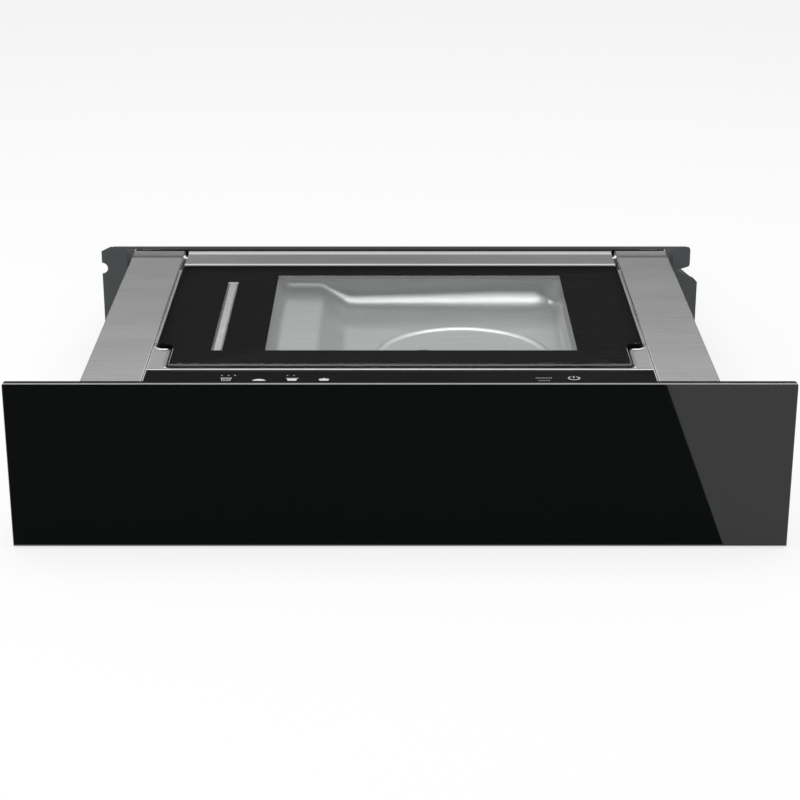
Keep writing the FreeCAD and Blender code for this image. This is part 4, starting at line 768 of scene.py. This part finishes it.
def rear_sweep():
    """Wide fold between the chamber's floor and its rear wall. In every section across x it is a quarter
    circle of radius r, from the floor at y = wall - r up to the wall. r grows from the shelf towards the
    right and shrinks at the ends to the sheet's own fold. The corner behind the quarter circle is filled."""
    x = np.linspace(SWEEP[0][0], SWEEP[-1][0], 119)
    level, radius = np.interp(x, SLOPE, (SHELF, FLOOR)), np.interp(x, *zip(*SWEEP))
    window = np.hanning(9)
    half = len(window) // 2
    for line in (level, radius):
        line[half:-half] = np.convolve(line, window / window.sum(), "valid")
    angle = np.linspace(0, np.pi / 2, 15)[None, :]
    r, z = radius[:, None], level[:, None]
    arc = np.stack([x[:, None] + 0 * angle, REAR_WALL - r + r * np.sin(angle), z + r - r * np.cos(angle)],
                   axis=-1)
    depth = 0.3
    back = np.full(len(x), REAR_WALL + depth)
    behind = np.stack([np.column_stack([x, back, level + radius]), np.column_stack([x, back, level - depth]),
                       np.column_stack([x, REAR_WALL - radius, level - depth])], axis=1)
    piece("chamber_rear_sweep", *loft(np.concatenate([arc, behind], axis=1)), "drawer", "chamber_steel",
          smooth=60, finish=CHAMBER_STEEL)


rear_sweep()


def screws_of(name, radius, height, axis, sign, spots, replaces=()):
    """A crosshead at every spot."""
    piece(name, *repeated(*crosshead(radius, height, axis, sign), spots), "drawer", "fastener", smooth=30,
          replaces=replaces)


HEAD = 3.6
low, high = span("cover_screws")
spots = [(x, y, low[2]) for x in (low[0] + HEAD, 0.0, high[0] - HEAD)
         for y in (low[1] + HEAD, high[1] - HEAD)]
screws_of("cover_crossheads", HEAD, 1.2, "z", 1.0, spots, ("cover_screws",))
low, high = span("carrier_screws")
spots = [(x, low[1], z) for x in np.linspace(low[0] + HEAD, high[0] - HEAD, 4)
         for z in (low[2] + HEAD, high[2] - HEAD)]
screws_of("carrier_crossheads", HEAD, 2.4, "y", 1.0, spots, ("carrier_screws",))
for side, name in SIDES:
    low, high = span(f"hinge_bracket_{name}")
    spots = [(high[0] if side < 0 else low[0], (low[1] + high[1]) / 2 + dy, low[2] + 6) for dy in (-5, 5)]
    screws_of(f"bracket_crossheads_{name}", 2.6, 1.3, "x", -side, spots)

SEAL_CORNER = 7.0


def seal_bulb():
    """Rubber seal round the chamber: a bulb section carried round a rounded rectangle. Each point is a
    distance outside the inner edge and a height, over a foot, two flanks and a crown."""
    low, high = span("chamber_seal")
    corners = [(low[0], low[1]), (high[0], low[1]), (high[0], high[1]), (low[0], high[1])]
    section = [(0.0, 0.0), (0.1, 1.5), (0.7, 3.4), (1.5, 4.8), (2.5, 5.6), (3.5, 4.8), (4.3, 3.4), (4.9, 1.5),
               (5.0, 0.0)]
    scale = (high[2] - low[2]) / max(h for _, h in section)
    loops = stacked(lambda u: rounded(corners, SEAL_CORNER, u), [(u, low[2] + h * scale) for u, h in section])
    faces = grid_faces(*loops.shape[:2], close_rows=True, close_columns=True).tolist()
    piece("chamber_seal_bulb", loops.reshape(-1, 3), faces, "drawer", "seal_rubber", smooth=60,
          replaces=("chamber_seal",))


seal_bulb()


def rubber_turnings(name, node_name, axis, radius, spots, length):
    """Rubber feet with a waist: the full radius less 0.9 sin(pi k) at the share k of the length."""
    share = np.linspace(0, 1, 12)
    waist = radius - 0.9 * np.sin(np.pi * share)
    rim, bevel = radius - 0.7, 0.4
    rows = [(0.0, 0.0), (rim, 0.0)] + [(r, bevel + k * (length - 2 * bevel)) for r, k in zip(waist, share)]
    rows += [(rim, length), (0.0, length)]
    piece(name, *repeated(*turned(rows, axis, 28), spots), "drawer", "seal_rubber", smooth=50,
          replaces=(node_name,))


BUFFER, MOUNT = 4.0, 7.0
low, high = span("panel_buffers")
spots = [(x, low[1], z) for x in (low[0] + BUFFER, high[0] - BUFFER)
         for z in (low[2] + BUFFER, high[2] - BUFFER)]
rubber_turnings("panel_buffer_feet", "panel_buffers", "y", BUFFER, spots, high[1] - low[1])
low, high = span("pump_mounts")
spots = [(x, y, low[2]) for x in (low[0] + MOUNT, high[0] - MOUNT)
         for y in (low[1] + MOUNT, high[1] - MOUNT)]
rubber_turnings("pump_mount_feet", "pump_mounts", "z", MOUNT, spots, high[2] - low[2])


def heater_tape():
    """Coated cloth over the heater strip. Its height falls towards both edges with the fourth power, and slow
    ripples of 0.05 run along it."""
    low, high = span("heater_strip")
    rows, columns = 120, 17
    across, along = np.linspace(-1, 1, columns)[None, :], np.linspace(0, 1, rows)[:, None]
    x = (low[0] + high[0]) / 2 + across * (high[0] - low[0]) / 2 + 0 * along
    y = low[1] + along * (high[1] - low[1]) + 0 * across
    z = high[2] - 0.06 - 0.35 * across ** 4 + 0.05 * np.sin(along * 74 + across * 2) * (1 - across ** 2)
    top = np.stack([x, y, z], axis=-1)
    floor = top.copy()
    floor[..., 2] = low[2]
    number = np.arange(rows * columns).reshape(rows, columns)
    rim = np.concatenate([number[0], number[1:, -1], number[-1, -2::-1], number[-2:0:-1, 0]])
    faces = grid_faces(rows, columns).tolist()
    faces += [[index + number.size for index in quad] for quad in faces]
    faces += [[a, b, b + number.size, a + number.size] for a, b in zip(rim, np.roll(rim, -1))]
    points = np.concatenate([top.reshape(-1, 3), floor.reshape(-1, 3)])
    piece("heater_tape", points, faces, "seal_bar", "tape", smooth=50, replaces=("heater_strip",))


heater_tape()

# Balls: radius, distance from the drawer's middle, and how far inside the cage's ends and edges they sit
BALL, RACE, BALL_END, BALL_EDGE = 1.3, 244.9, 6, 1.05


def slide_balls():
    """Steel balls in the cages, ten in each race: a half circle turned about the z axis."""
    arc = np.linspace(-np.pi / 2, np.pi / 2, 9)
    rows = np.column_stack([BALL * np.cos(arc), BALL * np.sin(arc)])
    rows[0, 0] = rows[-1, 0] = 0.0
    for cage, body in (("outer", "outer_cages"), ("inner", "inner_cages")):
        spots = []
        for side, name in SIDES:
            low, high = span(f"slide_cage_{cage}_{name}")
            spots += [(side * RACE, y, z) for y in np.linspace(low[1] + BALL_END, high[1] - BALL_END, 10)
                      for z in (low[2] + BALL_EDGE, high[2] - BALL_EDGE)]
        piece(f"slide_balls_{cage}", *repeated(*turned(rows, "z", 12), spots), body, "fastener", smooth=60)


slide_balls()

# Ribs of the tray: their heights, start and length, half their width, how proud they stand, and the share of
# half the length over which they round off
RIB_LEVELS, RIB_START, RIB_LENGTH, RIB_HALF, RIB_PROUD, RIB_END = (58.0, 84.0), -330, 430, 3.2, 0.9, 0.06


def side_ribs():
    """Pressed beads along the tray's sides: half an ellipse, times sqrt(1 - e^2) where e runs from 0 to 1
    over the rounding at both ends."""
    high = span("tray")[1]
    angle = np.linspace(0, np.pi, 13)[None, :]
    t = np.linspace(0, 1, 60)[:, None]
    over = np.clip(np.abs(t - 0.5) * 2 - (1 - RIB_END), 0, None)
    taper = np.sqrt(np.clip(1 - over ** 2 / RIB_END ** 2, 0, 1))
    y = RIB_START + t * RIB_LENGTH + 0 * angle
    for side, name in SIDES:
        x = side * high[0] + side * (RIB_PROUD * np.sin(angle) * taper) - side * 0.05
        shapes = [np.stack([x, y, z + RIB_HALF * np.cos(angle) * taper], axis=-1) for z in RIB_LEVELS]
        skin = grid_faces(t.size, angle.size, close_columns=True).tolist()
        piece(f"tray_ribs_{name}", *joined([(shape.reshape(-1, 3), skin) for shape in shapes]), "drawer",
              "galvanised", smooth=60)


side_ribs()


# Signs on the control strip: thin prints that start a little inside the glass

PRINT_LOW, PRINT_TOP = DECK - 0.02, DECK + 0.04


def disc(x, y, rx, ry=None, count=16):
    """Ellipse: the middle plus (rx cos a, ry sin a) at even angles a."""
    angle = np.linspace(0, 2 * np.pi, count, endpoint=False)
    return np.column_stack([x + rx * np.cos(angle), y + (ry or rx) * np.sin(angle)])


def stroke(path, width, closed=False):
    """Band of even width on both sides of a path, as an inner and an outer line of points."""
    path = np.asarray(path, float)
    if closed:
        way = np.roll(path, -1, axis=0) - np.roll(path, 1, axis=0)
    else:
        way = np.gradient(path, axis=0)
    way /= np.linalg.norm(way, axis=1, keepdims=True)
    side = np.column_stack([-way[:, 1], way[:, 0]]) * width / 2
    return path + side, path - side


def print_signs(name, plates, bands):
    """Thin prints: plates are outlines filled in, bands are strokes given as path, width and closed."""
    parts = [loft([np.column_stack([outline, np.full(len(outline), z)]) for z in (PRINT_LOW, PRINT_TOP)])
             for outline in plates]
    for path, width, closed in bands:
        one, two = stroke(path, width, closed)
        count = len(one)
        points = [np.column_stack([line, np.full(count, z)])
                  for line, z in ((one, PRINT_LOW), (one, PRINT_TOP), (two, PRINT_TOP), (two, PRINT_LOW))]
        faces = grid_faces(4, count, close_rows=True, close_columns=closed).tolist()
        if not closed:
            faces += [[row * count + end for row in range(4)] for end in (0, count - 1)]
        parts.append((np.concatenate(points), faces))
    piece(name, *joined(parts), "drawer", "control_glass", smooth=10, finish=SIGN_PRINT)


def arc_path(x, y, rx, ry, start, end, count=24):
    """The ellipse of disc, from one angle to another in degrees."""
    angle = np.radians(np.linspace(start, end, count))
    return np.column_stack([x + rx * np.cos(angle), y + ry * np.sin(angle)])


def control_signs():
    """A bag and three drops, a dish, a pot and two drops, a kettle, two rows of marks and the power sign."""
    plates, bands = [], []
    # Bag with a sealed edge
    x, y = -134.4, -333.1
    plates += [disc(x - 3.8, y + 8.9, 0.55), disc(x + 1.3, y + 8.9, 0.55), disc(x + 6.3, y + 8.9, 0.55, 0.9)]
    bands += [([(x - 3.6, y + 2.7), (x - 3.0, y - 2.7), (x + 3.0, y - 2.7), (x + 3.6, y + 2.7)], 0.7, True),
              ([(x - 4.4, y + 3.2), (x + 4.4, y + 3.2)], 0.8, False),
              ([(x - 2.4, y + 1.0), (x - 0.8, y - 1.2), (x + 0.8, y + 1.0), (x + 2.4, y - 1.2)], 0.6, False)]
    # Dish
    x, y = -108.8, -334.3
    foot = [(x - 5.6, y - 0.4), (x - 4.6, y - 1.6), (x + 4.6, y - 1.6), (x + 5.6, y - 0.4)]
    plates += [np.concatenate([arc_path(x, y - 0.4, 4.2, 2.6, 0, 180), foot])]
    # Pot
    x, y = -83.4, -333.1
    plates += [disc(x - 3.9, y + 8.9, 0.55), disc(x + 1.1, y + 8.9, 0.55),
               [(x - 3.4, y - 2.6), (x + 3.4, y - 2.6), (x + 3.8, y + 1.6), (x - 3.8, y + 1.6)]]
    bands += [([(x - 4.8, y + 2.6), (x + 4.8, y + 2.6)], 0.8, False)]
    # Kettle
    x, y = -58.7, -333.1
    plates += [[(x - 3.2, y - 2.6), (x + 3.2, y - 2.6), (x + 4.2, y + 0.8), (x - 4.2, y + 0.8)],
               disc(x, y + 2.6, 0.8)]
    bands += [([(x - 3.4, y + 1.6), (x + 3.4, y + 1.6)], 0.6, False)]
    # Marks
    plates += [disc(105.6 + 1.9 * i, -329.8, 0.42, 0.7, 10) for i in range(7)]
    plates += [disc(107.4 + 1.9 * i, -335.6, 0.42, 0.6, 10) for i in range(5)]
    # Power sign
    x, y = 134.6, -330.2
    bands += [(arc_path(x, y, 4.3, 3.6, 118, 422), 0.8, False), ([(x, y + 0.6), (x, y + 4.6)], 0.8, False)]
    print_signs("control_signs", [np.asarray(p, float) for p in plates], bands)


control_signs()


# Camera, light and surroundings

# Fitted to the photograph
camera_data = bpy.data.cameras.new("Camera")
camera_data.lens = 90.74
camera_data.sensor_width = 36
camera = placed("Camera", camera_data)
camera.location = (0, -1.7924, 0.6648)
camera.rotation_euler = (math.radians(69), 0, 0)
bpy.context.scene.camera = camera


def soft_box(name, place, target, width, depth, power):
    """An area lamp that faces a point."""
    data = bpy.data.lights.new(name, "AREA")
    data.shape = "RECTANGLE"
    data.size, data.size_y = width, depth
    data.energy = power
    lamp = placed(name, data)
    lamp.location = place
    lamp.rotation_euler = Vector(np.subtract(target, place)).to_track_quat("-Z", "Y").to_euler()


soft_box("TopLight", (0, -0.35, 2.4), (0, -0.2, 0), 3.2, 2.2, power=50)
soft_box("LeftLight", (-2.2, -1.4, 1.5), (0, -0.2, 0.1), 1.4, 1.4, power=12)

world = bpy.data.worlds.new("Studio")
bpy.context.scene.world = world
world.use_nodes = True
sky = world.node_tree
sky.nodes.clear()
level = ramp(sky, seen_rays(sky), 0.0, 1.0, 0.5, 1.0)
backdrop = node(sky, "ShaderNodeBackground", [("Color", (1, 1, 1, 1)), ("Strength", level)])
node(sky, "ShaderNodeOutputWorld", [(0, backdrop.outputs[0])])


def stage_sheet(name, corners, finish):
    """A flat four-cornered sheet that isn't part of the object."""
    mesh = bpy.data.meshes.new(name)
    mesh.from_pydata(corners, [], [(0, 1, 2, 3)])
    made = placed(name, mesh)
    mesh.materials.append(finish)
    return made


# Share of the floor's own light where it is seen, and half of its side
GLOW, STAGE_HALF = 0.72, 6


def floor_finish():
    """Matt pale floor that is seen as white, itself and in reflections, with a part of its shadows kept."""
    made, tree, shader, where = material("PaleFloor")
    fill(shader, {"Base Color": (0.86, 0.86, 0.86, 1), "Roughness": 0.9, "Specular IOR Level": 0.1})
    light = node(tree, "ShaderNodeEmission", [("Color", (1, 1, 1, 1)), ("Strength", 1.0)])
    share = math_node(tree, "MULTIPLY", seen_rays(tree), GLOW)
    blend = node(tree, "ShaderNodeMixShader", [(0, share), (1, shader.outputs[0]), (2, light.outputs[0])])
    tree.links.new(blend.outputs[0], found(tree, "OUTPUT_MATERIAL").inputs[0])
    return made


corners = [(x * STAGE_HALF, y * STAGE_HALF, 0) for x, y in ((-1, -1), (1, -1), (1, 1), (-1, 1))]
stage_sheet("Floor", corners, floor_finish())


def flag(name, corners, level):
    """A dark card beside the object that shows only in reflections."""
    cloth, tree, shader, where = material(name + "Cloth")
    fill(shader, {"Base Color": (0, 0, 0, 1), "Specular IOR Level": 0,
                  "Emission Color": (level, level, level, 1), "Emission Strength": 1.0})
    made = stage_sheet(name, corners, cloth)
    for kind in ("camera", "diffuse", "transmission", "volume_scatter", "shadow"):
        setattr(made, "visible_" + kind, False)


flag("FrontCard", [(-1.2, -1.3, 0.001), (0.25, -1.3, 0.001), (0.25, -0.384, 0.001), (-1.2, -0.384, 0.001)],
     0.01)
# Upright cards: their two ends in plan, lowest and highest level, and brightness
for name, start, end, low, high, level in (("RearCard", (-2.4, 2.2), (2.4, 2.2), 0.2, 1.14, 0.04),
                                           ("FrontWallCard", (-2.4, -2.6), (2.4, -2.6), 0.1, 1.5, 0.04),
                                           ("LeftCard", (-2.4, -2.4), (-2.4, 2.2), 0.0, 1.5, 0.08),
                                           ("RightCard", (2.4, -2.4), (2.4, 2.2), 0.0, 1.5, 0.08)):
    flag(name, [(*start, low), (*end, low), (*end, high), (*start, high)], level)

bpy.context.scene.view_settings.view_transform = "Standard"
